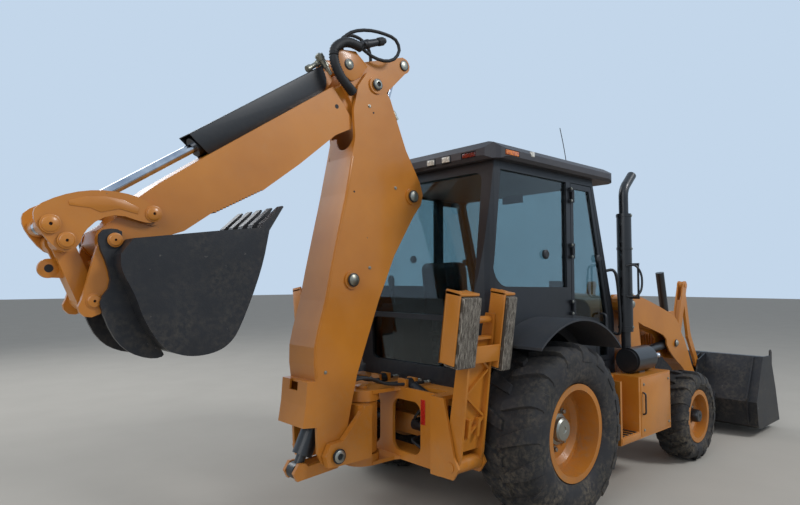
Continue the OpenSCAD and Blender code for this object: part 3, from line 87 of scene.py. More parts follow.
BUCKET_PIN = on_dipper_end(0, 0)
BUCKET_ROD_PIN = BUCKET_PIN + Vector((-0.276, 0.065))
LINK_PIN = BUCKET_PIN + Vector((-0.206, -0.010))
GUIDE_PIN = on_dipper_end(-0.247, -0.010)
COUPLER_PIN = BUCKET_PIN + Vector((-0.079, -0.301))
BOOM_ROD_PIN = on_boom_end(-0.708, -0.450)
DIPPER_BARREL_PIN = on_boom_end(-1.398, 0.015)
DIPPER_TAIL_PIN = on_dipper(-0.370, -0.015)
DIPPER_EAR_PIN = on_dipper(0.130, -0.210)
FRONT_AXLE_X = 2.146
LOADER_REACH = 4.110
LINK_END = 0.075
SHIFT = -(LOADER_REACH + BUCKET_ROD_PIN[0] - LINK_END) / 2

# Side faces of the boom's plates, the arm's plates and the side boxes, as a distance from the middle
BOOM_FACE = 0.150
ARM_FACE = 0.120
BOX_FACE = 1.0445


def place(x, y, z):
    return Vector((x + SHIFT, y, z))


def at(point, y):
    """A pin's (x, z) with a side position y, in the frame."""
    return Vector((point[0] + SHIFT, y, point[1]))


# The camera stands at the photograph's place, where the horizon lies a little below the picture's middle
EYE = (-3.67, -3.27, 1.69)
HEADING = math.radians(48.0)
HORIZON_PX = 28.5
FOCAL_PX = 578.0
PITCH = math.atan(HORIZON_PX / FOCAL_PX)
aim = Vector((math.cos(HEADING) * math.cos(PITCH), math.sin(HEADING) * math.cos(PITCH), math.sin(PITCH)))
camera = bpy.data.objects.new("camera", bpy.data.cameras.new("camera"))
camera.data.lens = 26.0
camera.data.sensor_width = 36.0
camera.location = place(*EYE)
camera.rotation_euler = aim.to_track_quat("-Z", "Y").to_euler()
scene.collection.objects.link(camera)
scene.camera = camera


# Materials

def linear(code):
    """An sRGB hex colour as linear RGBA."""
    parts = [int(code[i:i + 2], 16) / 255 for i in (1, 3, 5)]
    return tuple(c / 12.92 if c <= 0.04045 else ((c + 0.055) / 1.055) ** 2.4 for c in parts) + (1.0,)


def add(tree, kind, inputs=None, out=0, **settings):
    """Adds a node and gives its output. In inputs, sockets are linked and hex codes turned into colours."""
    made = tree.nodes.new(kind)
    for key, value in settings.items():
        setattr(made, key, value)
    for key, value in (inputs or {}).items():
        if isinstance(value, bpy.types.NodeSocket):
            tree.links.new(value, made.inputs[key])
        else:
            made.inputs[key].default_value = linear(value) if str(value).startswith("#") else value
    return made.outputs[out] if len(made.outputs) else None


def start_material(name):
    """An empty material, its tree, and the object's own coordinates in it."""
    made = bpy.data.materials.new(name)
    made.use_nodes = True
    made.node_tree.nodes.clear()
    return made, made.node_tree, add(made.node_tree, "ShaderNodeTexCoord", out="Object")


def close_material(made, sockets):
    """Ends a material with its Principled shader, and gives the material."""
    surface = add(made.node_tree, "ShaderNodeBsdfPrincipled", sockets)
    add(made.node_tree, "ShaderNodeOutputMaterial", {0: surface})
    return made


def blotches(tree, spot, size_mm, low, high, detail=3.0, rough=0.55):
    """Blotches of a size in millimetres: noise, spread so that low gives 0 and high gives 1."""
    field = {"Vector": spot, "Scale": 1000.0 / size_mm, "Detail": detail, "Roughness": rough}
    noise = add(tree, "ShaderNodeTexNoise", field)
    return add(tree, "ShaderNodeMapRange", {"Value": noise, "From Min": low, "From Max": high})


def finish(name, colour, shade, dust, chip, rough, metal=0.0, coat=0.0, patch_mm=420.0, dust_amount=0.5,
           dust_top=1.1, chip_amount=0.0, chip_mm=28.0, grain_mm=3.0, grain=0.02):
    """A worn outdoor finish: colour drifts to shade in patches, dust thickens downwards, paint is chipped."""
    made, tree, spot = start_material(name)
    patches = blotches(tree, spot, patch_mm, 0.35, 0.68)
    painted = add(tree, "ShaderNodeMix", {0: patches, 6: colour, 7: shade}, 2, data_type="RGBA")
    height = add(tree, "ShaderNodeSeparateXYZ", {0: spot}, 2)
    fade = {"Value": height, "From Min": 0.1, "From Max": dust_top, "To Min": 1.0, "To Max": 0.22}
    low_down = add(tree, "ShaderNodeMapRange", fade)
    dusty = blotches(tree, spot, 34.0, 0.42, 0.72, 8.0, 0.68)
    for factor in (blotches(tree, spot, 190.0, 0.36, 0.7, 4.0), low_down, dust_amount):
        dusty = add(tree, "ShaderNodeMath", {0: dusty, 1: factor}, operation="MULTIPLY")
    final = add(tree, "ShaderNodeMix", {0: dusty, 6: painted, 7: dust}, 2, data_type="RGBA")
    if chip_amount:
        low, high = 0.74 - chip_amount * 0.16, 0.76 - chip_amount * 0.14
        flakes = blotches(tree, spot, chip_mm, low, high, 6.0, 0.6)
        final = add(tree, "ShaderNodeMix", {0: flakes, 6: final, 7: chip}, 2, data_type="RGBA")
    dull = min(rough + 0.3, 0.95)
    gloss = {"Value": dusty, "From Min": 0.0, "From Max": 0.6, "To Min": rough, "To Max": dull}
    grains = {"Vector": spot, "Scale": 1000.0 / grain_mm, "Detail": 2.0, "Roughness": 0.55}
    relief = {"Height": add(tree, "ShaderNodeTexNoise", grains), "Strength": grain, "Distance": 0.002}
    sockets = {
        "Base Color": final,
        "Roughness": add(tree, "ShaderNodeMapRange", gloss),
        "Normal": add(tree, "ShaderNodeBump", relief),
        "Metallic": metal,
        "Coat Weight": coat,
        "Coat Roughness": 0.12,
    }
    if metal == 0.0:
        sockets["IOR"] = 1.5
    return close_material(made, sockets)


# Baked enamel on steel plate: glossy, with a faint orange peel, sun-faded patches and road dust low down
tan_enamel = finish("baked_tan_enamel", "#c8802a", "#ba7424", "#a98f6c", "#6f5a44", 0.34, coat=0.25,
                    dust_amount=0.55, chip_amount=0.10, chip_mm=22.0, grain_mm=4.0, grain=0.05)
# The same enamel on the wheels, duller with dried mud
wheel_enamel = finish("wheel_tan_enamel", "#c07a2c", "#ad6c26", "#8d7a60", "#5b4a38", 0.42, coat=0.1,
                      dust_amount=0.9, dust_top=1.6, chip_amount=0.2, chip_mm=18.0, grain_mm=4.0, grain=0.05)
# Black enamel on cylinders and pipes: satin, scuffed to grey in specks
black_enamel = finish("black_enamel", "#17181b", "#1f2124", "#6b6358", "#4a4a4c", 0.36, coat=0.15,
                      dust_amount=0.4, chip_amount=0.12, chip_mm=20.0, grain=0.05)
# Cab steel: black powder coat with a fine pebble of about 1 mm, drawn at 3 mm to show
cab_coat = finish("black_powder_coat", "#15171b", "#1c1f25", "#6b675f", "#303236", 0.42, dust_amount=0.3,
                  dust_top=1.6, grain=0.12)
# Roof: moulded ABS with a leathery grain, greyed by the sun
roof_abs = finish("moulded_roof_abs", "#343236", "#3f3c40", "#8c8578", "#5a5658", 0.5, dust_amount=0.35,
                  dust_top=3.2, patch_mm=600.0, grain_mm=5.0, grain=0.18)
# Fender: moulded polyethylene, matt and faintly streaked
fender_plastic = finish("moulded_fender_polyethylene", "#26282d", "#2f3238", "#77705f", "#3c3d40", 0.56,
                        dust_amount=0.6, dust_top=1.7, grain_mm=5.0, grain=0.15)
# Bucket plate: thin black paint over hot-rolled steel, scraped bare where soil slides
bucket_steel = finish("worn_bucket_plate", "#1b1c20", "#242529", "#7b7161", "#55524f", 0.46, metal=0.2,
                      dust_amount=0.55, dust_top=2.4, chip_amount=0.35, chip_mm=60.0, grain_mm=7.0, grain=0.2)
# Cutting edge: rolled steel rusted brown, with bare bright spots
edge_steel = finish("rusted_edge_steel", "#4b3f38", "#5d4a3c", "#8c7357", "#9a938c", 0.62, metal=0.55,
                    dust_top=3.0, chip_amount=0.4, chip_mm=30.0, grain_mm=6.0, grain=0.4)
# Cast iron of the axles and the engine: rough sand-cast skin under black paint and oil dust
cast_iron = finish("painted_cast_iron", "#1c1d1f", "#252628", "#6f6352", "#4a433c", 0.55, dust_amount=0.8,
                   grain_mm=6.0, grain=0.35)
# Zinc-plated pins and bolts: pale, slightly yellow passivate, going dull
zinc_pin = finish("zinc_plated_steel", "#a9aaa2", "#8f8d80", "#776e5e", "#5c5247", 0.38, metal=0.9,
                  dust_top=3.4, chip_amount=0.15, chip_mm=12.0, grain=0.1)
# Hydraulic hose: rubber cover with the fine wrap marks of its mould, black and dusty
hose_rubber = finish("hydraulic_hose_rubber", "#121214", "#1b1b1d", "#5b554b", "#2c2c2e", 0.62,
                     dust_amount=0.4, dust_top=3.4, grain_mm=4.0, grain=0.3)
# Tyre: carbon-black rubber browned by use, with dust between the lugs
tyre_rubber = finish("tyre_rubber", "#1d1d1e", "#28272a", "#857a69", "#3a3835", 0.78, dust_amount=1.0,
                     dust_top=1.5, patch_mm=160.0, chip_amount=0.1, grain_mm=6.0, grain=0.3)
# Seat: black vinyl with a leather grain
seat_vinyl = finish("seat_vinyl", "#1b1c1f", "#232427", "#5c574e", "#2c2c2e", 0.48, dust_amount=0.2,
                    dust_top=3.0, grain_mm=4.0, grain=0.35)
# Cab trim: moulded grey-black polypropylene
trim_plastic = finish("moulded_trim_polypropylene", "#222428", "#2a2c31", "#6b665c", "#3b3c3f", 0.55,
                      dust_amount=0.25, dust_top=3.0, grain=0.2)


def make_chrome():
    """Hard chrome on a ground rod: mirror bright, with hair-fine marks round it and a film of oil."""
    made, tree, spot = start_material("hard_chrome_rod")
    marks = blotches(tree, spot, 9.0, 0.35, 0.75, 5.0, 0.7)
    film = blotches(tree, spot, 120.0, 0.4, 0.7)
    return close_material(made, {
        "Base Color": add(tree, "ShaderNodeMix", {0: film, 6: "#ced1d6", 7: "#9ba3b0"}, 2, data_type="RGBA"),
        "Roughness": add(tree, "ShaderNodeMapRange", {"Value": marks, "To Min": 0.08, "To Max": 0.26}),
        "Metallic": 1.0,
    })


def make_glass():
    """Tempered safety glass, tinted, with a thin haze of dust."""
    made, tree, spot = start_material("tinted_tempered_glass")
    haze = blotches(tree, spot, 260.0, 0.45, 0.8, 5.0)
    return close_material(made, {
        "Base Color": add(tree, "ShaderNodeMix", {0: haze, 6: "#a3b9bd", 7: "#9fb4b8"}, 2, data_type="RGBA"),
        "Roughness": add(tree, "ShaderNodeMapRange", {"Value": haze, "To Min": 0.01, "To Max": 0.06}),
        "Transmission Weight": 1.0,
        "IOR": 1.45,
    })


def make_lens(name, colour, deep, pitch_mm):
    """A moulded lens: clear acrylic over prisms, which show as a fine grid."""
    made, tree, spot = start_material(name)
    prisms = {"Vector": spot, "Scale": 1000.0 / pitch_mm}
    grid = add(tree, "ShaderNodeTexVoronoi", prisms, "Distance", distance="CHEBYCHEV")
    cells = add(tree, "ShaderNodeMapRange", {"Value": grid, "From Min": 0.25, "From Max": 0.62})
    return close_material(made, {
        "Base Color": add(tree, "ShaderNodeMix", {0: cells, 6: colour, 7: deep}, 2, data_type="RGBA"),
        "Normal": add(tree, "ShaderNodeBump", {"Height": grid, "Strength": 0.5, "Distance": 0.003}),
        "Roughness": 0.12,
        "IOR": 1.49,
        "Coat Weight": 0.6,
        "Coat Roughness": 0.05,
    })


def make_laminate():
    """Pad blocks: strips of old tyre carcass bolted in a stack, whose ends show cord layers, frayed pale."""
    layer = 0.009
    made, tree, spot = start_material("laminated_tyre_strips")
    sideways = add(tree, "ShaderNodeSeparateXYZ", {0: spot})
    waves = {"Vector": spot, "Scale": 1000.0 / 60.0, "Detail": 3.0, "Roughness": 0.55}
    wobble = {0: add(tree, "ShaderNodeTexNoise", waves), 1: 0.012, 2: sideways}
    across = add(tree, "ShaderNodeMath", wobble, operation="MULTIPLY_ADD")
    phase = add(tree, "ShaderNodeMath", {0: across, 1: 2 * math.pi / layer}, operation="MULTIPLY")
    line = add(tree, "ShaderNodeMath", {0: phase}, operation="SINE")
    layers = add(tree, "ShaderNodeMapRange", {"Value": line, "From Min": -0.5, "From Max": 0.7})
    fibres = add(tree, "ShaderNodeVectorMath", {0: spot, 1: (120.0, 120.0, 9.0)}, operation="MULTIPLY")
    frayed = blotches(tree, fibres, 1000.0, 0.4, 0.62, 6.0, 0.7)
    worn = add(tree, "ShaderNodeMath", {0: layers, 1: frayed}, operation="MULTIPLY")
    return close_material(made, {
        "Base Color": add(tree, "ShaderNodeMix", {0: worn, 6: "#4d463e", 7: "#cdc6b9"}, 2, data_type="RGBA"),
        "Normal": add(tree, "ShaderNodeBump", {"Height": worn, "Strength": 0.8, "Distance": 0.006}),
        "Roughness": 0.88,
        "IOR": 1.5,
    })


chrome_rod = make_chrome()
cab_glazing = make_glass()
work_lens = make_lens("work_lamp_lens", "#e9e6dc", "#b9b7ae", 14.0)
amber_lens = make_lens("amber_acrylic_lens", "#f0881a", "#b5500c", 12.0)
red_lens = make_lens("red_acrylic_lens", "#7c1418", "#430a0d", 12.0)
reflector_red = make_lens("red_reflector_tape", "#c8261f", "#96150f", 9.0)
laminate = make_laminate()

# A CAD node takes the finish of its own name, or else of the first word in it, or else the machine's enamel
name_finish = {
    "rear_axle": cast_iron, "engine_block": cast_iron, "cab_frame": cab_coat, "cab_roof": roof_abs,
    "fenders": fender_plastic, "cab_interior": trim_plastic, "exhaust": black_enamel, "lamps": work_lens,
    "grille": black_enamel, "swing_cylinders": black_enamel, "hoe_bucket": bucket_steel,
    "loader_bucket": bucket_steel,
}
word_finish = (
    ("glass", cab_glazing), ("barrel", black_enamel), ("rod", chrome_rod), ("rim", wheel_enamel),
    ("tyre", tyre_rubber), ("knuckle", cast_iron), ("door", cab_coat),
)


def paint(thing, material):
    """Gives an object one material."""
    thing.data.materials.clear()
    thing.data.materials.append(material)


for name, thing in nodes.items():
    by_word = [chosen for word, chosen in word_finish if word in name]
    paint(thing, name_finish.get(name) or (by_word + [tan_enamel])[0])


# Mesh makers: each adds to a bmesh, and piece() turns the bmesh into a finished object

def grid_faces(mesh, rings, capped=True):
    """Joins closed rings of points into a skin, and closes its two ends."""
    rows = [[mesh.verts.new(p) for p in ring] for ring in rings]
    count = len(rows[0])
    for a, b in zip(rows, rows[1:]):
        for i in range(count):
            j = (i + 1) % count
            mesh.faces.new((a[i], a[j], b[j], b[i]))
    if capped:
        mesh.faces.new(list(reversed(rows[0])))
        mesh.faces.new(rows[-1])


def circle(middle, side, other, radius, steps):
    """Points round a circle, from side towards other."""
    turns = [2 * math.pi * i / steps for i in range(steps)]
    return [middle + (side * math.cos(t) + other * math.sin(t)) * radius for t in turns]


def frame_of(way):
    """Two directions square to a direction."""
    side = way.cross(Vector((0, 0, 1)))
    if side.length < 1e-4:
        side = Vector((1, 0, 0))
    side.normalize()
    return side, side.cross(way).normalized()


def lathe(mesh, middle, axis, profile, steps=32):
    """Turns a profile of (distance along the axis, radius) round an axis. A radius of 0 closes an end."""
    axis = Vector(axis).normalized()
    side, other = frame_of(axis)
    least = 0.0004
    rings = [circle(middle + axis * u, side, other, max(r, least), steps) for u, r in profile]
    grid_faces(mesh, rings)


def side_lathe(mesh, point, face, profile, steps=32):
    """The same turned shape on each side, standing outwards on a face."""
    for hand in SIDES:
        lathe(mesh, at(point, hand * face), (0, hand, 0), profile, steps)


def smooth_path(points, per):
    """A rounded path through points, with a number of steps from each to the next."""
    points = [Vector(p) for p in points]
    path = []
    for i in range(len(points) - 1):
        a = points[max(i - 1, 0)]
        b, c = points[i], points[i + 1]
        d = points[min(i + 2, len(points) - 1)]
        for k in range(per):
            t = k / per
            bend = (2 * a - 5 * b + 4 * c - d) * t * t + (3 * b - a - 3 * c + d) * t ** 3
            path.append(0.5 * ((2 * b) + (c - a) * t + bend))
    path.append(points[-1])
    return path


def placed(*points):
    """Places of the machine in the frame."""
    return [place(*p) for p in points]


def on_side(points, hand):
    """Points given on the left, on the side of a hand."""
    return [(x, hand * y, z) for x, y, z in points]


def way_at(path, i):
    """The direction of a path at one of its points."""
    return (path[min(i + 1, len(path) - 1)] - path[max(i - 1, 0)]).normalized()


def tube(mesh, path, radius, sides):
    """A round tube along a path, without twist."""
    side = frame_of(way_at(path, 0))[0]
    rings = []
    for i, spot in enumerate(path):
        way = way_at(path, i)
        side = (side - way * side.dot(way)).normalized()
        rings.append(circle(spot, side, way.cross(side), radius, sides))
    grid_faces(mesh, rings)


def slab(mesh, outline, y0, y1):
    """A plate with an outline of (x, z) in the machine's own lengths, between two sides."""
    grid_faces(mesh, [[at(p, y0) for p in outline], [at(p, y1) for p in outline]])


def slab_pair(mesh, outline, inner, outer):
    """The same plate on each side."""
    for hand in SIDES:
        slab(mesh, outline, *sorted((hand * inner, hand * outer)))


def brick(mesh, low, high):
    """A box between two corners in the machine's own lengths. piece() rounds its edges."""
    outline = [(low[0], low[2]), (high[0], low[2]), (high[0], high[2]), (low[0], high[2])]
    slab(mesh, outline, low[1], high[1])


def side_brick(mesh, low, high, hand):
    """A box given on the left, on the side of a hand."""
    y0, y1 = sorted((hand * low[1], hand * high[1]))
    brick(mesh, (low[0], y0, low[2]), (high[0], y1, high[2]))


def brick_pair(mesh, low, high):
    """The same box on each side."""
    for hand in SIDES:
        side_brick(mesh, low, high, hand)


def baked(thing):
    """Turns an object's modifiers into its mesh."""
    view = bpy.context.evaluated_depsgraph_get()
    view.update()
    done = thing.evaluated_get(view)
    plain = bpy.data.meshes.new_from_object(done, preserve_all_data_layers=True, depsgraph=view)
    thing.modifiers.clear()
    thing.data = plain


def linked(name, data):
    """A new object in the scene, around a mesh."""
    thing = bpy.data.objects.new(name, data)
    scene.collection.objects.link(thing)
    return thing


def mesh_data(name, mesh):
    """A bmesh as mesh data, and the bmesh is freed."""
    data = bpy.data.meshes.new(name)
    mesh.to_mesh(data)
    mesh.free()
    return data


def dress(thing, body, replaces, smooth=35.0):
    """Smooth shading up to an angle, the body that the piece rides on, and the nodes that it stands for."""
    thing.data.polygons.foreach_set("use_smooth", [True] * len(thing.data.polygons))
    thing.data.set_sharp_from_angle(angle=math.radians(smooth))
    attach(thing, body)
    if replaces:
        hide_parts(*replaces)


def piece(name, mesh, material, body, bevel=0.0, rounds=2, replaces=(), smooth=35.0):
    """Finishes a bmesh as a named piece that rides on a body."""
    bmesh.ops.remove_doubles(mesh, verts=mesh.verts, dist=1e-6)
    bmesh.ops.recalc_face_normals(mesh, faces=mesh.faces)
    thing = linked(name, mesh_data(name, mesh))
    if bevel:
        rounding = thing.modifiers.new("rounding", "BEVEL")
        rounding.width = bevel
        rounding.segments = rounds
        rounding.limit_method = "ANGLE"
        rounding.angle_limit = math.radians(32)
        baked(thing)
    paint(thing, material)
    dress(thing, body, replaces, smooth)
    return thing


def copies_tree():
    """Copies of one shape, on points, each turned by the point's own turn attribute."""
    tree = bpy.data.node_groups.new("copies_on_points", "GeometryNodeTree")
    face = tree.interface
    inputs = {"Geometry": "Geometry", "Shape": "Object", "Size": "Float", "Finish": "Material"}
    for name, kind in inputs.items():
        face.new_socket(name, in_out="INPUT", socket_type="NodeSocket" + kind)
    face.new_socket("Geometry", in_out="OUTPUT", socket_type="NodeSocketGeometry")
    given = tree.nodes.new("NodeGroupInput").outputs
    turn = add(tree, "GeometryNodeInputNamedAttribute", {"Name": "turn"}, data_type="FLOAT_VECTOR")
    shape = add(tree, "GeometryNodeObjectInfo", {"Object": given["Shape"]}, "Geometry")
    spread = add(tree, "GeometryNodeInstanceOnPoints", {
        "Points": given["Geometry"], "Instance": shape, "Rotation": turn, "Scale": given["Size"]})
    real = add(tree, "GeometryNodeRealizeInstances", {"Geometry": spread})
    dressed = add(tree, "GeometryNodeSetMaterial", {"Geometry": real, "Material": given["Finish"]})
    add(tree, "NodeGroupOutput", {0: dressed})
    return tree


COPIES = copies_tree()


def copies(name, shape_mesh, spots, material, body, replaces=()):
    """Copies of one small shape. Each spot is (place, turn), and the shape is drawn round the origin."""
    bmesh.ops.recalc_face_normals(shape_mesh, faces=shape_mesh.faces)
    shape = linked(name + "_shape", mesh_data(name + "_shape", shape_mesh))
    points = bpy.data.meshes.new(name)
    points.from_pydata([tuple(p) for p, _ in spots], [], [])
    turns = points.attributes.new("turn", "FLOAT_VECTOR", "POINT")
    turns.data.foreach_set("vector", [c for _, t in spots for c in t])
    thing = linked(name, points)
    spread = thing.modifiers.new("copies", "NODES")
    spread.node_group = COPIES
    keys = {item.name: item.identifier for item in COPIES.interface.items_tree if item.in_out == "INPUT"}
    for key, value in (("Shape", shape), ("Size", 1.0), ("Finish", material)):
        spread[keys[key]] = value
    baked(thing)
    bpy.data.objects.remove(shape)
    dress(thing, body, replaces)


def hex_bolt(radius, height):
    """A hexagon head on a washer, standing along +Z from the origin."""
    mesh = bmesh.new()
    foot, up, wide = Vector((0, 0, 0)), (0, 0, 1), radius * 1.35
    lathe(mesh, foot, up, [(-0.001, wide), (height * 0.25, wide), (height * 0.3, radius * 0.9)], 16)
    lathe(mesh, foot, up, [(height * 0.2, radius), (height * 0.9, radius), (height, radius * 0.86)], 6)
    return mesh


def turned(hand):
    """The turn that stands a bolt outwards on a side."""
    return (-hand * math.pi / 2, 0, 0)


# Wheels: each tyre is a carcass with slanted lugs, and each hub gets a cap and wheel nuts

def carcass_profile(radius, width, bead, lug):
    """Half of a tyre's section, from the bead over the shoulder, as (side, radius)."""
    core = radius - lug
    return [(width * 0.36, bead - 0.004), (width * 0.43, bead + 0.012), (width * 0.485, bead + 0.05),
            (width * 0.5, (bead + core) / 2), (width * 0.492, core - 0.07), (width * 0.455, core - 0.028),
            (width * 0.38, core - 0.006), (width * 0.2, core), (0.0, core + 0.002)]


def radius_at(profile, side):
    """The carcass radius at a side position on the tread."""
    rows = [p for p in profile if p[1] > profile[3][1]]
    for (s0, r0), (s1, r1) in zip(rows, rows[1:]):
        if s1 <= side <= s0:
            return r1 + (r0 - r1) * (side - s1) / max(s0 - s1, 1e-6)
    return rows[0][1]


REAR_RADIUS = 0.625
# Sections of a lug: share of the tyre's width, turn back, half thickness, and share of the lug's height
LUG_SECTIONS = (
    (-0.03, 0.0, 0.030, 0.95), (0.06, 0.05, 0.036, 1.0), (0.20, 0.13, 0.040, 1.0), (0.34, 0.21, 0.046, 1.0),
    (0.42, 0.26, 0.050, 0.97), (0.475, 0.29, 0.052, 0.86), (0.497, 0.30, 0.052, 0.5),
)


def lug_mesh(profile, radius, width, lug, hand):
    """One slanted lug, wide at the shoulder, which runs down the sidewall a little."""
    mesh = bmesh.new()
    rings = []
    sunk = 0.012
    scale = radius / REAR_RADIUS
    for share, turn, half, tall in LUG_SECTIONS:
        on_sidewall = share >= 0.49
        side = width * (0.505 if on_sidewall else share)
        skin = profile[4][1] - sunk if on_sidewall else radius_at(profile, min(max(side, 0.0), width * 0.49))
        low = skin - sunk
        top = min(skin + lug * tall, radius)
        ring = []
        for level, wider, sign in ((low, 1.18, -1), (top, 1.0, -1), (top, 1.0, 1), (low, 1.18, 1)):
            angle = turn * 0.55 + sign * half * scale * wider / level
            ring.append(Vector((level * math.sin(angle), hand * side, level * math.cos(angle))))
        rings.append(ring)
    grid_faces(mesh, rings)
    sharp = [e for e in mesh.edges if len(e.link_faces) == 2 and e.calc_face_angle(0) > 0.9]
    bmesh.ops.bevel(mesh, geom=sharp, offset=0.005, segments=1, affect="EDGES", clamp_overlap=True)
    return mesh


def wheel(axle, hand, x, track, radius, width, bead, lug, cap, cap_out, cap_finish, bolt_circle, nuts):
    """The tyre, hub cap and nuts of one wheel, at half a track's distance from the middle."""
    label = f"{axle}_{LABELS[hand]}"
    tyre = f"{axle}_tyre_{LABELS[hand]}"
    body = body_of_node[tyre]
    hub = place(x, hand * track, radius)
    profile = carcass_profile(radius, width, bead, lug)
    section = profile + [(-s, r) for s, r in reversed(profile[:-1])]
    steps, lugs = 96, 16
    turns = [2 * math.pi * i / steps for i in range(steps)]
    rings = [[hub + Vector((r * math.sin(t), s, r * math.cos(t))) for s, r in section] for t in turns]
    mesh = bmesh.new()
    grid_faces(mesh, rings + rings[:1], capped=False)
    piece(f"tyre_carcass_{label}", mesh, tyre_rubber, body, replaces=(tyre,), smooth=50)
    for side, row, offset in ((-1, "in", 0.0), (1, "out", 0.5)):
        spots = [(hub, (0, 2 * math.pi * (i + offset) / lugs, 0)) for i in range(lugs)]
        shape = lug_mesh(profile, radius, width, lug, side)
        copies(f"tyre_lugs_{label}_{row}", shape, spots, tyre_rubber, body, replaces=(tyre,))
    mesh = bmesh.new()
    lathe(mesh, place(x, hand * (track + 0.038), radius), (0, hand, 0),
          [(0, cap * 1.25), (0.012, cap * 1.25), (0.016, cap), (cap_out * 0.8, cap * 0.96),
           (cap_out, cap * 0.82), (cap_out, cap * 0.3), (cap_out - 0.006, cap * 0.26),
           (cap_out - 0.006, 0)], 40)
    piece(f"hub_cap_{label}", mesh, cap_finish, body)
    middle = place(x, hand * (track + 0.010), radius)
    ring = circle(middle, Vector((0, 0, 1)), Vector((1, 0, 0)), bolt_circle, nuts)
    spots = [(p, turned(hand)) for p in ring]
    copies(f"wheel_nuts_{label}", hex_bolt(0.017, 0.026), spots, zinc_pin, body)


bodies = frame["record"]["behaviour"]["bodies"]
body_of_node = {node: body for body, owned in bodies.items() for node in owned}
for hand in SIDES:
    wheel("rear", hand, x=0.0, track=0.850, radius=REAR_RADIUS, width=0.480, bead=0.341, lug=0.030,
          cap=0.088, cap_out=0.060, cap_finish=zinc_pin, bolt_circle=0.150, nuts=8)
for hand in SIDES:
    wheel("front", hand, x=FRONT_AXLE_X, track=0.920, radius=0.412, width=0.300, bead=0.245, lug=0.024,
          cap=0.062, cap_out=0.095, cap_finish=black_enamel, bolt_circle=0.105, nuts=6)


# Pin ends: how far the middle stands out, the rim as a share of the radius, and how far the rim stands out
PIN_STYLES = {"domed": (0.016, 0.5, 0.015), "flat": (0.0085, 0.5, 0.008), "hollow": (0.002, 0.56, 0.015),
              "painted": (0.002, 0.22, 0.015)}


def flanged_pin(name, point, face, radius, body, style="domed"):
    """A pin end in a ring, on each side: domed, flat or hollow and plated, or painted with a small hole. The
    black ring round a plated end is painted shade of the gap round the pin, and the hole is a dark disc of
    painted shade.
    """
    middle, share, top = PIN_STYLES[style]
    rim = radius * share
    crown = [(-0.004, radius), (top * 0.6, radius), (top * 0.87, radius * 0.86), (top, rim),
             (middle, rim * 0.9), (middle, 0)]
    collar = [(-0.004, radius * 1.2), (0.004, radius * 1.2), (0.005, radius * 1.14), (0.005, radius * 0.98),
              (0, radius * 0.9)]
    # A plated end's ring is black enamel as painted shade in the gap round the pin, and a painted end's ring
    # is tan
    paints = (tan_enamel, tan_enamel) if style == "painted" else (black_enamel, zinc_pin)
    parts = [(paints[0], collar, "ring"), (paints[1], crown, "end")]
    # The hole is a thin dark disc of painted shade inside the end
    if style in ("hollow", "painted"):
        parts.append((hose_rubber, [(0, rim * 0.86), (0.0045, rim * 0.86), (0.0045, 0)], "hole"))
    for material, rows, part in parts:
        mesh = bmesh.new()
        side_lathe(mesh, point, face, rows)
        piece(f"{name}_pin_{part}", mesh, material, body)


# Each pin's place, the side face that it stands on, its radius, its body and its style
for row in (
    ("boom_tip", BOOM_TIP, 0.171, 0.034, "boom", "hollow"),
    ("boom_cylinder_head", BOOM_ROD_PIN, 0.171, 0.038, "boom"),
    ("dipper_cylinder_foot", DIPPER_BARREL_PIN, 0.171, 0.038, "boom"),
    ("dipper_ear", DIPPER_EAR_PIN, 0.133, 0.032, "dipper"),
    ("dipper_tail", DIPPER_TAIL_PIN, 0.124, 0.032, "dipper", "flat"),
    ("bucket", BUCKET_PIN, 0.205, 0.030, "dipper_arm", "painted"),
    ("guide", GUIDE_PIN, 0.163, 0.036, "guide_links", "painted"),
    ("bucket_rod", BUCKET_ROD_PIN, 0.173, 0.038, "guide_links", "painted"),
    ("link", LINK_PIN, 0.173, 0.034, "guide_links", "painted"),
    ("coupler", COUPLER_PIN, 0.169, 0.032, "hoe_bucket", "painted"),
    ("boom_foot", BOOM_FOOT, 0.213, 0.040, "swing_post", "hollow"),
    ("arm_pivot", (1.410, 1.480), 0.778, 0.030, "machine"),
    ("lift_foot", (1.515, 0.990), 0.778, 0.028, "machine"),
    ("lift_head", (2.380, 1.060), 0.754, 0.030, "loader_arms"),
    ("loader", (3.260, 0.270), 0.776, 0.030, "loader_bucket"),
):
    flanged_pin(*row)

# Small bolts on both faces of the boom
bolt_points = [on_boom_end(u, v) for u, v in ((-0.169, 0.036), (-0.684, -0.283), (-1.293, -0.126))]
bolt_points.append(on_boom(0.519, 0.141))
copies("boom_side_bolts", hex_bolt(0.009, 0.0081),
       [(at(p, hand * BOOM_FACE), turned(hand)) for p in bolt_points for hand in SIDES], zinc_pin, "boom")


def hole_shade_rows(radius):
    """A drilled hole, shown as a thin dark disc of painted shade."""
    return [(-0.002, radius), (0.0012, radius), (0.0012, 0)]


# Painted shade: dark discs for the holes in the faces of the boom and the arm
mesh = bmesh.new()
for spot in (on_boom_end(-0.204, -0.007), on_boom_end(-0.799, 0.081)):
    side_lathe(mesh, spot, BOOM_FACE, hole_shade_rows(0.007), 16)
piece("boom_holes", mesh, hose_rubber, "boom")
mesh = bmesh.new()
side_lathe(mesh, on_dipper(0.381, -0.007), ARM_FACE, hole_shade_rows(0.015), 20)
piece("arm_holes", mesh, hose_rubber, "dipper_arm")

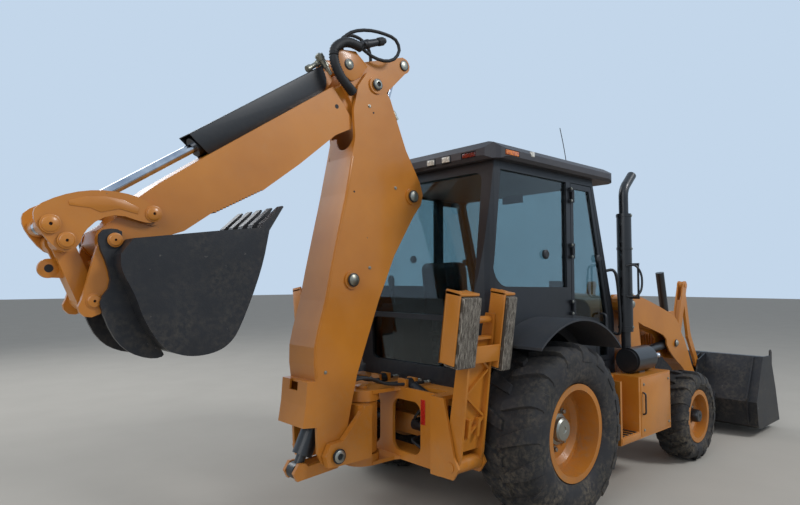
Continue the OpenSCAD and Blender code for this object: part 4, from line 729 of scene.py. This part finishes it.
# Boom: a seam cap along the rear edge of each side plate
seam = [on_boom(u, v) for u, v in (
    (0.480, 0.207), (0.555, 0.228), (0.670, 0.243), (0.780, 0.234), (0.975, 0.206), (1.180, 0.192),
    (1.415, 0.171))]
seam += [on_boom_end(-0.830, 0.144), on_boom_end(-0.560, 0.130)]
inwards = Vector((along(BOOM_ANGLE)[1], -along(BOOM_ANGLE)[0])) * 0.012
mesh = bmesh.new()
slab_pair(mesh, seam + [p + inwards for p in reversed(seam)], BOOM_FACE - 0.0005, BOOM_FACE + 0.003)
piece("boom_seam_plates", mesh, tan_enamel, "boom", bevel=0.001)

# Rounded foot of the opening in the boom's rear cover, where the folded arm lies
mesh = bmesh.new()
middle_y, half, arc_u, low_u, edge_y = -0.035, 0.100, -0.400, -0.572, 0.136
turns = [math.pi * k / 14 for k in range(15)]
ring = [(middle_y - half * math.cos(t), arc_u - half * math.sin(t)) for t in turns]
ring += [(edge_y, arc_u), (edge_y, low_u), (-edge_y, low_u)]
grid_faces(mesh, [[at(on_boom_end(u, v), y) for y, u in ring] for v in (0.118, 0.130)])
piece("boom_opening_foot", mesh, tan_enamel, "boom")

# Taller ears of the dipper's head casting
ear = [on_dipper(u, v) for u, v in (
    (0.186, -0.308), (0.168, -0.319), (0.133, -0.318), (0.020, -0.264), (0.012, -0.235), (-0.004, -0.193),
    (-0.020, -0.135), (0.079, -0.100), (0.152, -0.100), (0.177, -0.110), (0.214, -0.170), (0.219, -0.219))]
mesh = bmesh.new()
slab_pair(mesh, ear, 0.108, 0.133)
piece("dipper_ears", mesh, tan_enamel, "dipper", bevel=0.002)

# Link plates: a raised panel between the pins
panel = [GUIDE_PIN + Vector(p) for p in (
    (-0.075, 0.026), (-0.150, 0.060), (-0.235, 0.070), (-0.330, 0.060), (-0.400, 0.036), (-0.395, 0.012),
    (-0.300, 0.006), (-0.255, -0.012), (-0.170, 0.012), (-0.080, -0.008))]
mesh = bmesh.new()
slab_pair(mesh, panel, 0.1610, 0.1655)
piece("link_plate_panels", mesh, tan_enamel, "guide_links", bevel=0.003)

# Lifting eye on the bucket link's front
eye_spot = Vector((-3.055, 1.752))
mesh = bmesh.new()
slab(mesh, circle(eye_spot, Vector((1, 0)), Vector((0, 1)), 0.048, 24), -0.017, 0.017)
tongue = ((0.0, 0.045), (0.11, 0.05), (0.11, -0.05), (0.0, -0.045))
slab(mesh, [eye_spot + Vector(p) for p in tongue], -0.016, 0.016)
piece("lifting_eye", mesh, tan_enamel, "bucket_link", bevel=0.003)
# The eye's hole is painted shade: a dark disc on each face of the solid eye
mesh = bmesh.new()
side_lathe(mesh, eye_spot, 0.0168, hole_shade_rows(0.020), 24)
piece("lifting_eye_hole", mesh, hose_rubber, "bucket_link")


# Hoses

def crimped(mesh, middle, way, size):
    """A hose end: a hexagon nut and a crimped collar."""
    lathe(mesh, middle, way, [(-size, size * 0.95), (size * 0.1, size * 0.95), (size * 0.2, size * 0.8)], 6)
    collar = ((0, 0.78), (1.8, 0.82), (2.0, 0.7), (2.2, 0.82), (2.6, 0.74))
    lathe(mesh, middle, way, [(reach * size, share * size) for reach, share in collar], 18)


def hose(name, points, thick, body, per=4, ends=True, with_extra=()):
    """A rubber hose through points of the machine, with a crimped fitting at each end."""
    path = smooth_path(placed(*points), per)
    mesh = bmesh.new()
    tube(mesh, path, thick / 2, 12)
    thing = piece(name, mesh, hose_rubber, body)
    extra = list(with_extra)
    if ends:
        mesh = bmesh.new()
        crimped(mesh, path[0], (path[1] - path[0]).normalized(), thick * 0.72)
        crimped(mesh, path[-1], (path[-2] - path[-1]).normalized(), thick * 0.72)
        extra.append(piece(name + "_ends", mesh, zinc_pin, body))


# Sleeved bundle round the dipper casting, and the two loops that leave it
sleeve_route = (
    (-1.290, -0.146, 2.985), (-1.350, -0.160, 3.016), (-1.414, -0.163, 3.071), (-1.460, -0.163, 3.155),
    (-1.457, -0.160, 3.239), (-1.392, -0.158, 3.300), (-1.312, -0.154, 3.322), (-1.225, -0.150, 3.314))
outer_route = (
    (-1.140, -0.160, 3.275), (-1.040, -0.175, 3.262), (-0.955, -0.190, 3.292), (-0.918, -0.205, 3.362),
    (-0.955, -0.208, 3.428), (-1.045, -0.200, 3.446), (-1.160, -0.180, 3.446), (-1.262, -0.150, 3.425),
    (-1.335, -0.125, 3.380), (-1.368, -0.118, 3.310), (-1.352, -0.110, 3.225))
inner_route = (
    (-1.085, -0.052, 3.178), (-1.070, -0.052, 3.240), (-1.060, -0.050, 3.315), (-1.085, -0.046, 3.390),
    (-1.150, -0.040, 3.434), (-1.235, -0.038, 3.436), (-1.302, -0.040, 3.398), (-1.332, -0.052, 3.335),
    (-1.332, -0.068, 3.246))
sleeve = smooth_path(placed(*sleeve_route), 10)
mesh = bmesh.new()
ribs = (0.029, 0.034)
rings = [circle(spot, *frame_of(way_at(sleeve, i)), ribs[i % 2], 16) for i, spot in enumerate(sleeve)]
grid_faces(mesh, rings)
sleeve_piece = piece("hose_sleeve", mesh, hose_rubber, "dipper", smooth=60)
hose("loop_hose_outer", sleeve_route + outer_route, 0.024, "dipper", per=2, ends=False,
     with_extra=(sleeve_piece,))
hose("loop_hose_inner", inner_route, 0.024, "dipper", ends=False)

# Burst valve on the bundle's end, with a black clamp block
valve_foot = place(-1.245, -0.158, 3.322)
valve_way = Vector((0.86, -0.06, 0.36)).normalized()
mesh = bmesh.new()
lathe(mesh, valve_foot, valve_way, [
    (-0.03, 0.014), (0.0, 0.018), (0.012, 0.028), (0.052, 0.030), (0.056, 0.033), (0.078, 0.033),
    (0.082, 0.028), (0.150, 0.026), (0.156, 0.020), (0.235, 0.020)], 24)
lathe(mesh, valve_foot + valve_way * 0.030, (0, -1, 0), [
    (0.02, 0.012), (0.042, 0.012), (0.044, 0.008), (0.044, 0)], 12)
piece("burst_valve", mesh, bucket_steel, "dipper")
mesh = bmesh.new()
lathe(mesh, valve_foot + valve_way * 0.165, valve_way, [
    (0, 0.022), (0.004, 0.031), (0.050, 0.031), (0.054, 0.022)], 8)
piece("hose_clamp_black", mesh, hose_rubber, "dipper", bevel=0.002)

# Port elbows at the head of the bucket cylinder, and one on the dipper cylinder's gland
mesh = bmesh.new()
lathe(mesh, place(-1.598, -0.045, 3.098), (0.80, 0, 0.60), [
    (-0.002, 0.018), (0.0, 0.024), (0.030, 0.024), (0.034, 0.017), (0.085, 0.017), (0.090, 0.022),
    (0.125, 0.022)], 12)
lathe(mesh, place(-1.520, -0.060, 3.212), (0.62, 0, -0.66), [
    (-0.002, 0.020), (0.0, 0.030), (0.034, 0.030), (0.038, 0.024), (0.090, 0.026), (0.094, 0.018),
    (0.150, 0.016)], 12)
lathe(mesh, place(-1.500, -0.060, 3.190), (-0.7, 0, 0.55), [
    (0, 0.020), (0.036, 0.020), (0.040, 0.014), (0.040, 0)], 6)
piece("cylinder_port_elbows", mesh, zinc_pin, "bucket_barrel")
mesh = bmesh.new()
lathe(mesh, place(-0.905, -0.070, 2.990), (0.52, -0.10, -0.72), [
    (-0.02, 0.014), (0.050, 0.014), (0.054, 0.021), (0.086, 0.021), (0.090, 0.016), (0.125, 0.016)], 12)
piece("dipper_port_elbow", mesh, zinc_pin, "dipper_barrel")

# Guard over the bucket cylinder: a folded channel with flat sides and a rounded heel
mesh = bmesh.new()
fold_v, hem_v, wide, sheet, head_u, toe_u = -0.282, -0.128, 0.074, 0.004, 0.300, 1.390
turns = [math.pi / 2 * k / 6 for k in range(7)]
heel = [on_dipper(0.405 - 0.100 * math.cos(t), -0.262 + (0.262 + hem_v) * math.sin(t)) for t in turns]
cheek = [on_dipper(toe_u, fold_v), on_dipper(head_u, fold_v)] + heel + [on_dipper(toe_u - 0.040, hem_v)]
slab_pair(mesh, cheek, wide - sheet, wide)
top = ((head_u, fold_v), (toe_u, fold_v), (toe_u, fold_v + sheet), (head_u, fold_v + sheet))
slab(mesh, [on_dipper(*p) for p in top], -wide, wide)
piece("bucket_cylinder_guard", mesh, black_enamel, "bucket_barrel", bevel=0.0015)

# Hoses over the rear frame, drawn in towards the swing post as (x, share of y, z), and inside its openings
swing_route = (
    (-0.640, 2.0, 0.948), (-0.760, 1.9, 0.952), (-0.880, 1.5, 0.950), (-0.990, 1.3, 0.966),
    (-1.100, 1.2, 1.010), (-1.215, 1.1, 1.020), (-1.320, 0.8, 0.985), (-1.368, 0.55, 0.930))
for k, y in enumerate((-0.105, -0.060, 0.070)):
    hose(f"swing_hose_{k}", [(px, y * share, pz) for px, share, pz in swing_route], 0.022, "machine", per=3)
for hand in SIDES:
    for k, (z0, z1, x0) in enumerate(((0.74, 0.80, -0.716), (0.70, 0.86, -0.780), (0.56, 0.50, -0.800))):
        route = ((-0.655, 0.200, z0), (x0, 0.215, z0), (x0 - 0.01, 0.290, (z0 + z1) / 2), (x0, 0.360, z1),
                 (x0 + 0.01, 0.440, z1), (-0.745, 0.505, z1 - 0.03), (-0.655, 0.520, z1 - 0.05))
        hose(f"frame_hose_{LABELS[hand]}_{k}", on_side(route, hand), 0.020, "machine", per=3)

# Rear frame's web: red reflectors, and the rounded corners of its openings
WEB_X = -0.860
mesh = bmesh.new()
brick_pair(mesh, (WEB_X - 0.0025, 0.364, 0.702), (WEB_X + 0.0005, 0.408, 0.872))
piece("rear_reflectors", mesh, reflector_red, "machine", bevel=0.001)
mesh = bmesh.new()
corner = 0.07
y0, y1, z0, z1 = 0.070, 0.360, 0.480, 0.845
turns = [math.pi / 2 * k / 6 for k in range(7)]
for hand in SIDES:
    for cy, cz, sy, sz in ((y1, z1, -1, -1), (y1, z0, -1, 1), (y0, z1, 1, -1), (y0, z0, 1, 1)):
        arc = [(cy + sy * corner * (1 - math.sin(t)), cz + sz * corner * (1 - math.cos(t))) for t in turns]
        arc.insert(0, (cy, cz))
        grid_faces(mesh, [[place(WEB_X + deep, hand * py, pz) for py, pz in arc] for deep in (0.001, 0.024)])
piece("rear_opening_corners", mesh, tan_enamel, "machine")

# Flip pads: laminated rubber blocks in steel holders
LEG_LEAN = math.radians(8)
LEG_PIN = (0.700, 0.500)


def on_leg(x, u, v, hand):
    """A place u along a stabiliser leg and v inwards of its middle line."""
    y = LEG_PIN[0] + u * math.sin(LEG_LEAN) - v * math.cos(LEG_LEAN)
    z = LEG_PIN[1] + u * math.cos(LEG_LEAN) + v * math.sin(LEG_LEAN)
    return place(x, hand * y, z)


def leg_brick(mesh, low, high, hand):
    """A box between two corners, given as (x, u along the leg, v inwards)."""
    corners = ((low[1], low[2]), (high[1], low[2]), (high[1], high[2]), (low[1], high[2]))
    grid_faces(mesh, [[on_leg(x, u, v, hand) for u, v in corners] for x in (low[0], high[0])])


for hand in SIDES:
    pad = f"pad_{LABELS[hand]}"
    steel, rubber = bmesh.new(), bmesh.new()
    for x0, x1, u0 in ((-1.090, -0.910, 0.672), (-0.660, -0.550, 0.622)):
        leg_brick(steel, (x0, u0 + 0.02, -0.086), (x0 + 0.014, 1.150, 0.034), hand)
        leg_brick(steel, (x0, 1.118, -0.086), (x1, 1.136, 0.034), hand)
        leg_brick(steel, (x0, u0 + 0.02, 0.020), (x1, 1.136, 0.034), hand)
        leg_brick(steel, (x1 - 0.012, 0.860, -0.050), (x1, 1.136, 0.034), hand)
        leg_brick(rubber, (x0 + 0.020, u0, -0.108), (x1 + 0.006, 1.112, 0.016), hand)
    leg_brick(steel, (-0.911, 0.690, -0.086), (-0.659, 0.800, -0.072), hand)
    leg_brick(steel, (-0.911, 0.900, -0.020), (-0.903, 1.060, 0.030), hand)
    for x, rows in ((-0.925, [(0, 0.024), (0.28, 0.024)]),
                    (-0.922, [(0, 0.046), (0.014, 0.046), (0.016, 0.026)]),
                    (-0.664, [(0, 0.026), (0.002, 0.046), (0.016, 0.046)])):
        lathe(steel, on_leg(x, 0.950, 0, hand), (1, 0, 0), rows, 24)
    piece(f"pad_holder_{LABELS[hand]}", steel, tan_enamel, pad, bevel=0.004, replaces=(pad,))
    piece(f"pad_rubber_{LABELS[hand]}", rubber, laminate, pad, bevel=0.012, rounds=3, replaces=(pad,))

# Lamps of the roof
lens, amber, red, trim = bmesh.new(), bmesh.new(), bmesh.new(), bmesh.new()
for y in (0.195, 0.352):
    brick_pair(trim, (-0.588, y - 0.046, 2.558), (-0.548, y + 0.046, 2.610))
    brick_pair(lens, (-0.592, y - 0.038, 2.564), (-0.580, y + 0.038, 2.604))
for y in (0.300, 0.480):
    brick_pair(trim, (1.045, y - 0.058, 2.561), (1.076, y + 0.058, 2.603))
    brick_pair(lens, (1.070, y - 0.050, 2.566), (1.080, y + 0.050, 2.598))
brick_pair(trim, (-0.579, 0.502, 2.563), (-0.556, 0.638, 2.605))
brick_pair(red, (-0.584, 0.508, 2.568), (-0.574, 0.632, 2.600))
brick_pair(amber, (-0.476, 0.800, 2.567), (-0.334, 0.826, 2.601))
brick_pair(lens, (-0.190, 0.812, 2.590), (-0.146, 0.828, 2.628))
for name, mesh, material in (("work_lamp_lenses", lens, work_lens), ("side_marker_lenses", amber, amber_lens),
                             ("tail_lamp_lenses", red, red_lens), ("lamp_housings", trim, cab_coat)):
    piece(name, mesh, material, "machine", bevel=0.004, rounds=3, replaces=("lamps",))

# Mast of the radio on the roof
mesh = bmesh.new()
whip = ((0.985, -0.400, 2.620), (0.960, -0.400, 2.760), (0.915, -0.400, 2.920), (0.860, -0.400, 3.072))
tube(mesh, smooth_path(placed(*whip), 4), 0.0035, 8)
lathe(mesh, place(0.990, -0.400, 2.615), (-0.15, 0, 1), [
    (0, 0.022), (0.03, 0.018), (0.05, 0.008), (0.09, 0.006)], 16)
piece("radio_mast", mesh, hose_rubber, "machine")

# Knobs, latches and hinges' bolts on the glass
mesh = bmesh.new()
side_lathe(mesh, (0.110, 1.894), 0.718, [
    (0, 0.010), (0.010, 0.036), (0.026, 0.036), (0.034, 0.026), (0.034, 0)], 28)
piece("window_knobs", mesh, trim_plastic, "machine")
knob_rows = [(0, 0.010), (0.010, 0.034), (0.024, 0.034), (0.032, 0.024), (0.032, 0)]
lock_rows = [(0, 0.026), (0.008, 0.026), (0.012, 0.020), (0.012, 0)]
handle_route = ((0.748, 1.245), (0.790, 1.260), (0.794, 1.330), (0.790, 1.400), (0.748, 1.415))
for hand in SIDES:
    mesh = bmesh.new()
    lathe(mesh, place(0.860, hand * 0.735, 1.880), (0, hand, 0), knob_rows, 28)
    lathe(mesh, place(0.910, hand * 0.744, 1.300), (0, hand, 0), lock_rows, 24)
    side_brick(mesh, (0.880, 0.746, 1.230), (0.925, 0.774, 1.262), hand)
    tube(mesh, smooth_path([place(0.900, hand * py, pz) for py, pz in handle_route], 5), 0.010, 12)
    piece(f"door_knob_{LABELS[hand]}", mesh, trim_plastic, f"door_{LABELS[hand]}")
for hand in SIDES:
    heights = [z + up for up in (0, 0.095) for z in (1.433, 1.883, 2.333)]
    spots = [(place(0.430, hand * 0.771, z), turned(hand)) for z in heights]
    copies(f"hinge_bolts_{LABELS[hand]}", hex_bolt(0.008, 0.007), spots, zinc_pin, "machine")

# Grab rail beside each door and the mirror on the exhaust's rail
rail_route = (
    (1.120, 0.740, 1.240), (1.125, 0.800, 1.250), (1.110, 0.805, 1.500), (1.060, 0.800, 1.760),
    (1.020, 0.738, 1.780))
mesh = bmesh.new()
for hand in SIDES:
    tube(mesh, smooth_path(placed(*on_side(rail_route, hand)), 6), 0.013, 14)
piece("grab_rails", mesh, black_enamel, "machine")
mesh = bmesh.new()
hoop = ((1.100, -0.880, 1.560), (1.120, -0.950, 1.560), (1.150, -0.985, 1.620), (1.155, -0.985, 1.740),
        (1.125, -0.950, 1.820), (1.100, -0.880, 1.824))
tube(mesh, smooth_path(placed(*hoop), 6), 0.009, 12)
piece("mirror_hoop", mesh, black_enamel, "machine")

# Exhaust: clamp bands, guard bolts and the drain pipe's bright end
mesh = bmesh.new()
for z in (1.275, 1.560, 1.960, 2.250):
    lathe(mesh, place(1.190, -0.820, z), (0, 0, 1), [
        (0, 0.058), (0.002, 0.066), (0.024, 0.066), (0.026, 0.058)], 32)
lathe(mesh, place(1.435, -0.885, 1.015), (-1, 0, 0), [(-0.004, 0.030), (0.012, 0.090), (0.020, 0.100)], 36)
piece("exhaust_bands", mesh, black_enamel, "machine")
spots = [(place(1.190, -0.886, z), turned(-1)) for z in (1.290, 1.572, 1.972, 2.262)]
copies("exhaust_bolts", hex_bolt(0.009, 0.008), spots, zinc_pin, "machine")
mesh = bmesh.new()
lathe(mesh, place(1.430, -0.930, 1.040), (0.8, -0.2, -0.1), [
    (-0.03, 0.020), (0.075, 0.020), (0.078, 0.024), (0.088, 0.024), (0.088, 0.016), (0.03, 0.015),
    (0.03, 0)], 24)
piece("drain_pipe", mesh, chrome_rod, "machine")

# Side boxes: door panels, bolts, the right door's handle, treads, and a filler cap on the left tank
mesh = bmesh.new()
brick_pair(mesh, (0.985, BOX_FACE - 0.005, 0.425), (1.525, BOX_FACE, 0.890))
brick(mesh, (0.655, -BOX_FACE, 0.418), (0.965, 0.005 - BOX_FACE, 0.462))
brick(mesh, (0.655, BOX_FACE - 0.005, 0.418), (0.965, BOX_FACE, 0.632))
piece("box_door_panels", mesh, tan_enamel, "machine", bevel=0.002)
corners = [(x, z) for x in (1.030, 1.490) for z in (0.470, 0.840)]
spots = [(at(p, hand * BOX_FACE), turned(hand)) for p in corners for hand in SIDES]
copies("box_bolts", hex_bolt(0.009, 0.008), spots, zinc_pin, "machine")
mesh = bmesh.new()
bow_route = ((1.044, 0.600), (1.068, 0.612), (1.070, 0.660), (1.070, 0.720), (1.068, 0.765), (1.044, 0.777))
tube(mesh, smooth_path([place(1.010, -py, pz) for py, pz in bow_route], 5), 0.007, 12)
piece("box_handle", mesh, black_enamel, "machine")
mesh = bmesh.new()
for hand, step_z in ((1, 0.640), (-1, 0.470)):
    for x in (0.690, 0.755, 0.820, 0.885):
        side_brick(mesh, (x, 0.838, step_z - 0.001), (x + 0.030, 1.034, step_z + 0.006), hand)
piece("step_treads", mesh, black_enamel, "machine", bevel=0.002)
mesh = bmesh.new()
lathe(mesh, place(1.240, 0.930, 0.900), (0, 0, 1), [
    (0, 0.062), (0.012, 0.062), (0.016, 0.052), (0.050, 0.050), (0.056, 0.042), (0.056, 0)], 36)
piece("filler_cap", mesh, trim_plastic, "machine")

# Head lamps in the hood
for name, x, material, rows in (
    ("head_lamp_rims", 2.772, trim_plastic, [(-0.02, 0.050), (0.012, 0.062), (0.016, 0.062), (0.016, 0.050)]),
    ("head_lamp_lenses", 2.770, work_lens, [(0, 0.052), (0.012, 0.050), (0.020, 0.030), (0.022, 0)]),
):
    mesh = bmesh.new()
    for hand in SIDES:
        lathe(mesh, place(x, hand * 0.330, 0.997), (1, 0, 0), rows, 32)
    piece(name, mesh, material, "hood")

# Loader: the bucket's wear edge, and a pair of pipes along each arm
mesh = bmesh.new()
brick(mesh, (3.880, -1.176, 0.096), (4.104, 1.176, 0.102))
piece("cutting_edge_bar", mesh, edge_steel, "loader_bucket", bevel=0.002)
pipe_route = ((1.480, 1.445), (1.900, 1.390), (2.280, 1.290), (2.440, 1.200), (2.560, 1.080))
for hand in SIDES:
    mesh = bmesh.new()
    path = smooth_path([at(p, hand * 0.600) for p in pipe_route], 6)
    for drop in (0, 0.030):
        tube(mesh, [p - Vector((0, 0, drop)) for p in path], 0.008, 10)
    piece(f"arm_pipes_{LABELS[hand]}", mesh, black_enamel, "loader_arms")


# Cab fittings: seat, steering wheel, consoles and levers

def puffed(name, low, high, lean):
    """A stuffed seat part: a rounded block that cloth under pressure fills out, with two sewn channels."""
    pressure, most_swell, frames = 4.0, 0.012, 14
    channel_at, channel_wide, channel_deep = 0.62, 0.045, 0.008
    mesh = bmesh.new()
    bmesh.ops.create_cube(mesh, size=1.0)
    size = [h - l for l, h in zip(low, high)]
    middle = [(h + l) / 2 for l, h in zip(low, high)]
    bmesh.ops.bevel(mesh, geom=list(mesh.edges), offset=0.18, segments=4, affect="EDGES", profile=0.6)
    for v in mesh.verts:
        p = Vector([v.co[k] * size[k] for k in range(3)])
        p[0] -= lean * p[2]
        v.co = place(middle[0] + p[0], middle[1] + p[1], middle[2] + p[2])
    thing = linked(name, mesh_data(name, mesh))
    remesh = thing.modifiers.new("remesh", "REMESH")
    remesh.mode = "VOXEL"
    remesh.voxel_size = 0.012
    baked(thing)
    before = [v.co.copy() for v in thing.data.vertices]
    cloth = thing.modifiers.new("cloth", "CLOTH")
    cloth.settings.use_pressure = True
    cloth.settings.uniform_pressure_force = pressure
    cloth.settings.effector_weights.gravity = 0.0
    cloth.point_cache.frame_end = frames
    for f in range(1, frames + 1):
        scene.frame_set(f)
    baked(thing)
    scene.frame_set(1)
    for v, old in zip(thing.data.vertices, before):
        move = v.co - old
        if move.length > most_swell:
            v.co = old + move * (most_swell / move.length)
    centre = place(*middle)
    for v in thing.data.vertices:
        across = abs(v.co[1] - middle[1]) / (size[1] / 2)
        groove = math.exp(-((across - channel_at) / channel_wide) ** 2) * channel_deep
        v.co += (centre - v.co).normalized() * groove
    soft = thing.modifiers.new("soft", "SUBSURF")
    soft.levels = soft.render_levels = 1
    baked(thing)
    paint(thing, seat_vinyl)
    thing.data.polygons.foreach_set("use_smooth", [True] * len(thing.data.polygons))
    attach(thing, "machine")
    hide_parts("cab_interior")


puffed("seat_cushion", (-0.200, -0.240, 1.255), (0.245, 0.240, 1.385), 0.0)
puffed("seat_back", (-0.285, -0.225, 1.370), (-0.170, 0.225, 1.850), 0.10)

# Seat's suspension bellows and arm rests, and the side and rear consoles with their levers
mesh = bmesh.new()
brick(mesh, (-0.200, -0.200, 0.952), (0.200, 0.200, 0.990))
for k in range(6):
    z = 0.990 + k * 0.038
    wide = 0.185 if k % 2 else 0.165
    brick(mesh, (-wide, -wide, z), (wide, wide, z + 0.038))
brick(mesh, (-0.210, -0.220, 1.218), (0.225, 0.220, 1.254))
brick_pair(mesh, (-0.140, 0.252, 1.520), (0.160, 0.300, 1.560))
brick_pair(mesh, (-0.150, 0.252, 1.300), (-0.110, 0.300, 1.530))
brick_pair(mesh, (-0.050, 0.330, 0.952), (0.420, 0.480, 1.400))
for y0, y1 in ((0.310, 0.460), (-0.500, -0.350)):
    brick(mesh, (-0.520, y0, 0.952), (-0.400, y1, 1.500))
for hand in SIDES:
    lathe(mesh, place(0.200, hand * 0.400, 1.400), (0.12, 0, 1), [
        (0, 0.026), (0.02, 0.014), (0.14, 0.008), (0.145, 0.020), (0.19, 0.026), (0.215, 0.016),
        (0.218, 0)], 20)
    lathe(mesh, place(-0.455, hand * 0.385, 1.500), (-0.1, 0, 1), [
        (0, 0.034), (0.03, 0.016), (0.12, 0.009), (0.125, 0.022), (0.20, 0.028), (0.235, 0.018),
        (0.238, 0)], 20)
piece("seat_frame_and_consoles", mesh, trim_plastic, "machine", bevel=0.008, replaces=("cab_interior",))

# Steering wheel on its column, the dash and its stalk
mesh = bmesh.new()
wheel_axis = Vector((-math.sin(math.radians(30)), 0, math.cos(math.radians(30))))
hub = place(0.560, 0, 1.520)
ring_path = circle(hub, *frame_of(wheel_axis), 0.190, 40)
rings = [circle(spot, (spot - hub).normalized(), wheel_axis, 0.014, 10) for spot in ring_path]
grid_faces(mesh, rings + rings[:1], capped=False)
for k in (0, 13, 27):
    tube(mesh, [hub + (ring_path[k] - hub) * 0.2 - wheel_axis * 0.02, ring_path[k]], 0.010, 10)
lathe(mesh, hub - wheel_axis * 0.05, wheel_axis, [
    (0, 0.030), (0.02, 0.055), (0.05, 0.052), (0.058, 0.040), (0.058, 0)], 28)
tube(mesh, placed((0.740, 0, 0.960), (0.700, 0, 1.250), (0.600, 0, 1.460)), 0.040, 20)
brick(mesh, (0.640, -0.130, 0.952), (0.770, 0.130, 1.300))
brick(mesh, (0.620, -0.200, 1.300), (0.760, 0.200, 1.430))
lathe(mesh, place(0.520, -0.060, 1.470), (-0.2, -0.9, 0.2), [
    (0, 0.010), (0.13, 0.007), (0.135, 0.014), (0.17, 0.014), (0.172, 0)], 14)
piece("steering_wheel_and_dash", mesh, trim_plastic, "machine", bevel=0.004, replaces=("cab_interior",))

# Display on its stalk and the inner mirror
mesh = bmesh.new()
brick(mesh, (0.800, -0.480, 1.560), (0.830, -0.300, 1.690))
tube(mesh, placed((0.815, -0.390, 1.560), (0.840, -0.400, 1.300)), 0.012, 10)
brick(mesh, (0.500, -0.230, 2.380), (0.525, -0.020, 2.450))
piece("display_and_inner_mirror", mesh, trim_plastic, "machine", bevel=0.006, replaces=("cab_interior",))

# Floor, backdrop and light
FLOOR_REACH = 60
floor_mesh = bpy.data.meshes.new("floor")
corners = [(x * FLOOR_REACH, y * FLOOR_REACH, 0) for x, y in ((-1, -1), (1, -1), (1, 1), (-1, 1))]
floor_mesh.from_pydata(corners, [], [(0, 1, 2, 3)])
floor = linked("floor", floor_mesh)
floor_finish, tree, spot = start_material("pale_studio_floor")
mottling = {"Vector": spot, "Scale": 1000.0 / 700.0, "Detail": 4.0, "Roughness": 0.55}
tints = {0: add(tree, "ShaderNodeTexNoise", mottling), 6: "#b4b0a8", 7: "#bfbbb3"}
tint = add(tree, "ShaderNodeMix", tints, 2, data_type="RGBA")
close_material(floor_finish, {"Base Color": tint, "Roughness": 0.9, "IOR": 1.3})
paint(floor, floor_finish)

# The world lights softly, and the camera, glass and gloss see a pale sky
world = bpy.data.worlds.new("studio")
world.use_nodes = True
scene.world = world
tree = world.node_tree
tree.nodes.clear()
kinds = ("Camera", "Transmission", "Glossy")
rays = [add(tree, "ShaderNodeLightPath", out=f"Is {kind} Ray") for kind in kinds]
seen = add(tree, "ShaderNodeMath", {0: rays[0], 1: rays[1]}, operation="MAXIMUM")
seen = add(tree, "ShaderNodeMath", {0: seen, 1: rays[2]}, operation="MAXIMUM")
soft = add(tree, "ShaderNodeBackground", {"Color": "#e4ecf6", "Strength": 0.44})
pale = add(tree, "ShaderNodeBackground", {"Color": "#c3d6ea", "Strength": 1.0})
add(tree, "ShaderNodeOutputWorld", {0: add(tree, "ShaderNodeMixShader", {0: seen, 1: soft, 2: pale})})


def lamp(name, spot, power, size):
    """A square soft lamp that looks at the machine's middle."""
    light = bpy.data.lights.new(name, "AREA")
    light.energy = power
    light.size = size
    thing = linked(name, light)
    thing.location = spot
    thing.rotation_euler = (Vector((0, 0, 1.2)) - Vector(spot)).to_track_quat("-Z", "Y").to_euler()


lamp("key_light", (3.5, -9.0, 9.5), 640, 3.0)
lamp("fill_light", (-9.0, -3.0, 6.0), 240, 6.0)
lamp("rim_light", (-3.0, 9.0, 8.0), 380, 5.0)

scene.view_settings.view_transform = "Standard"
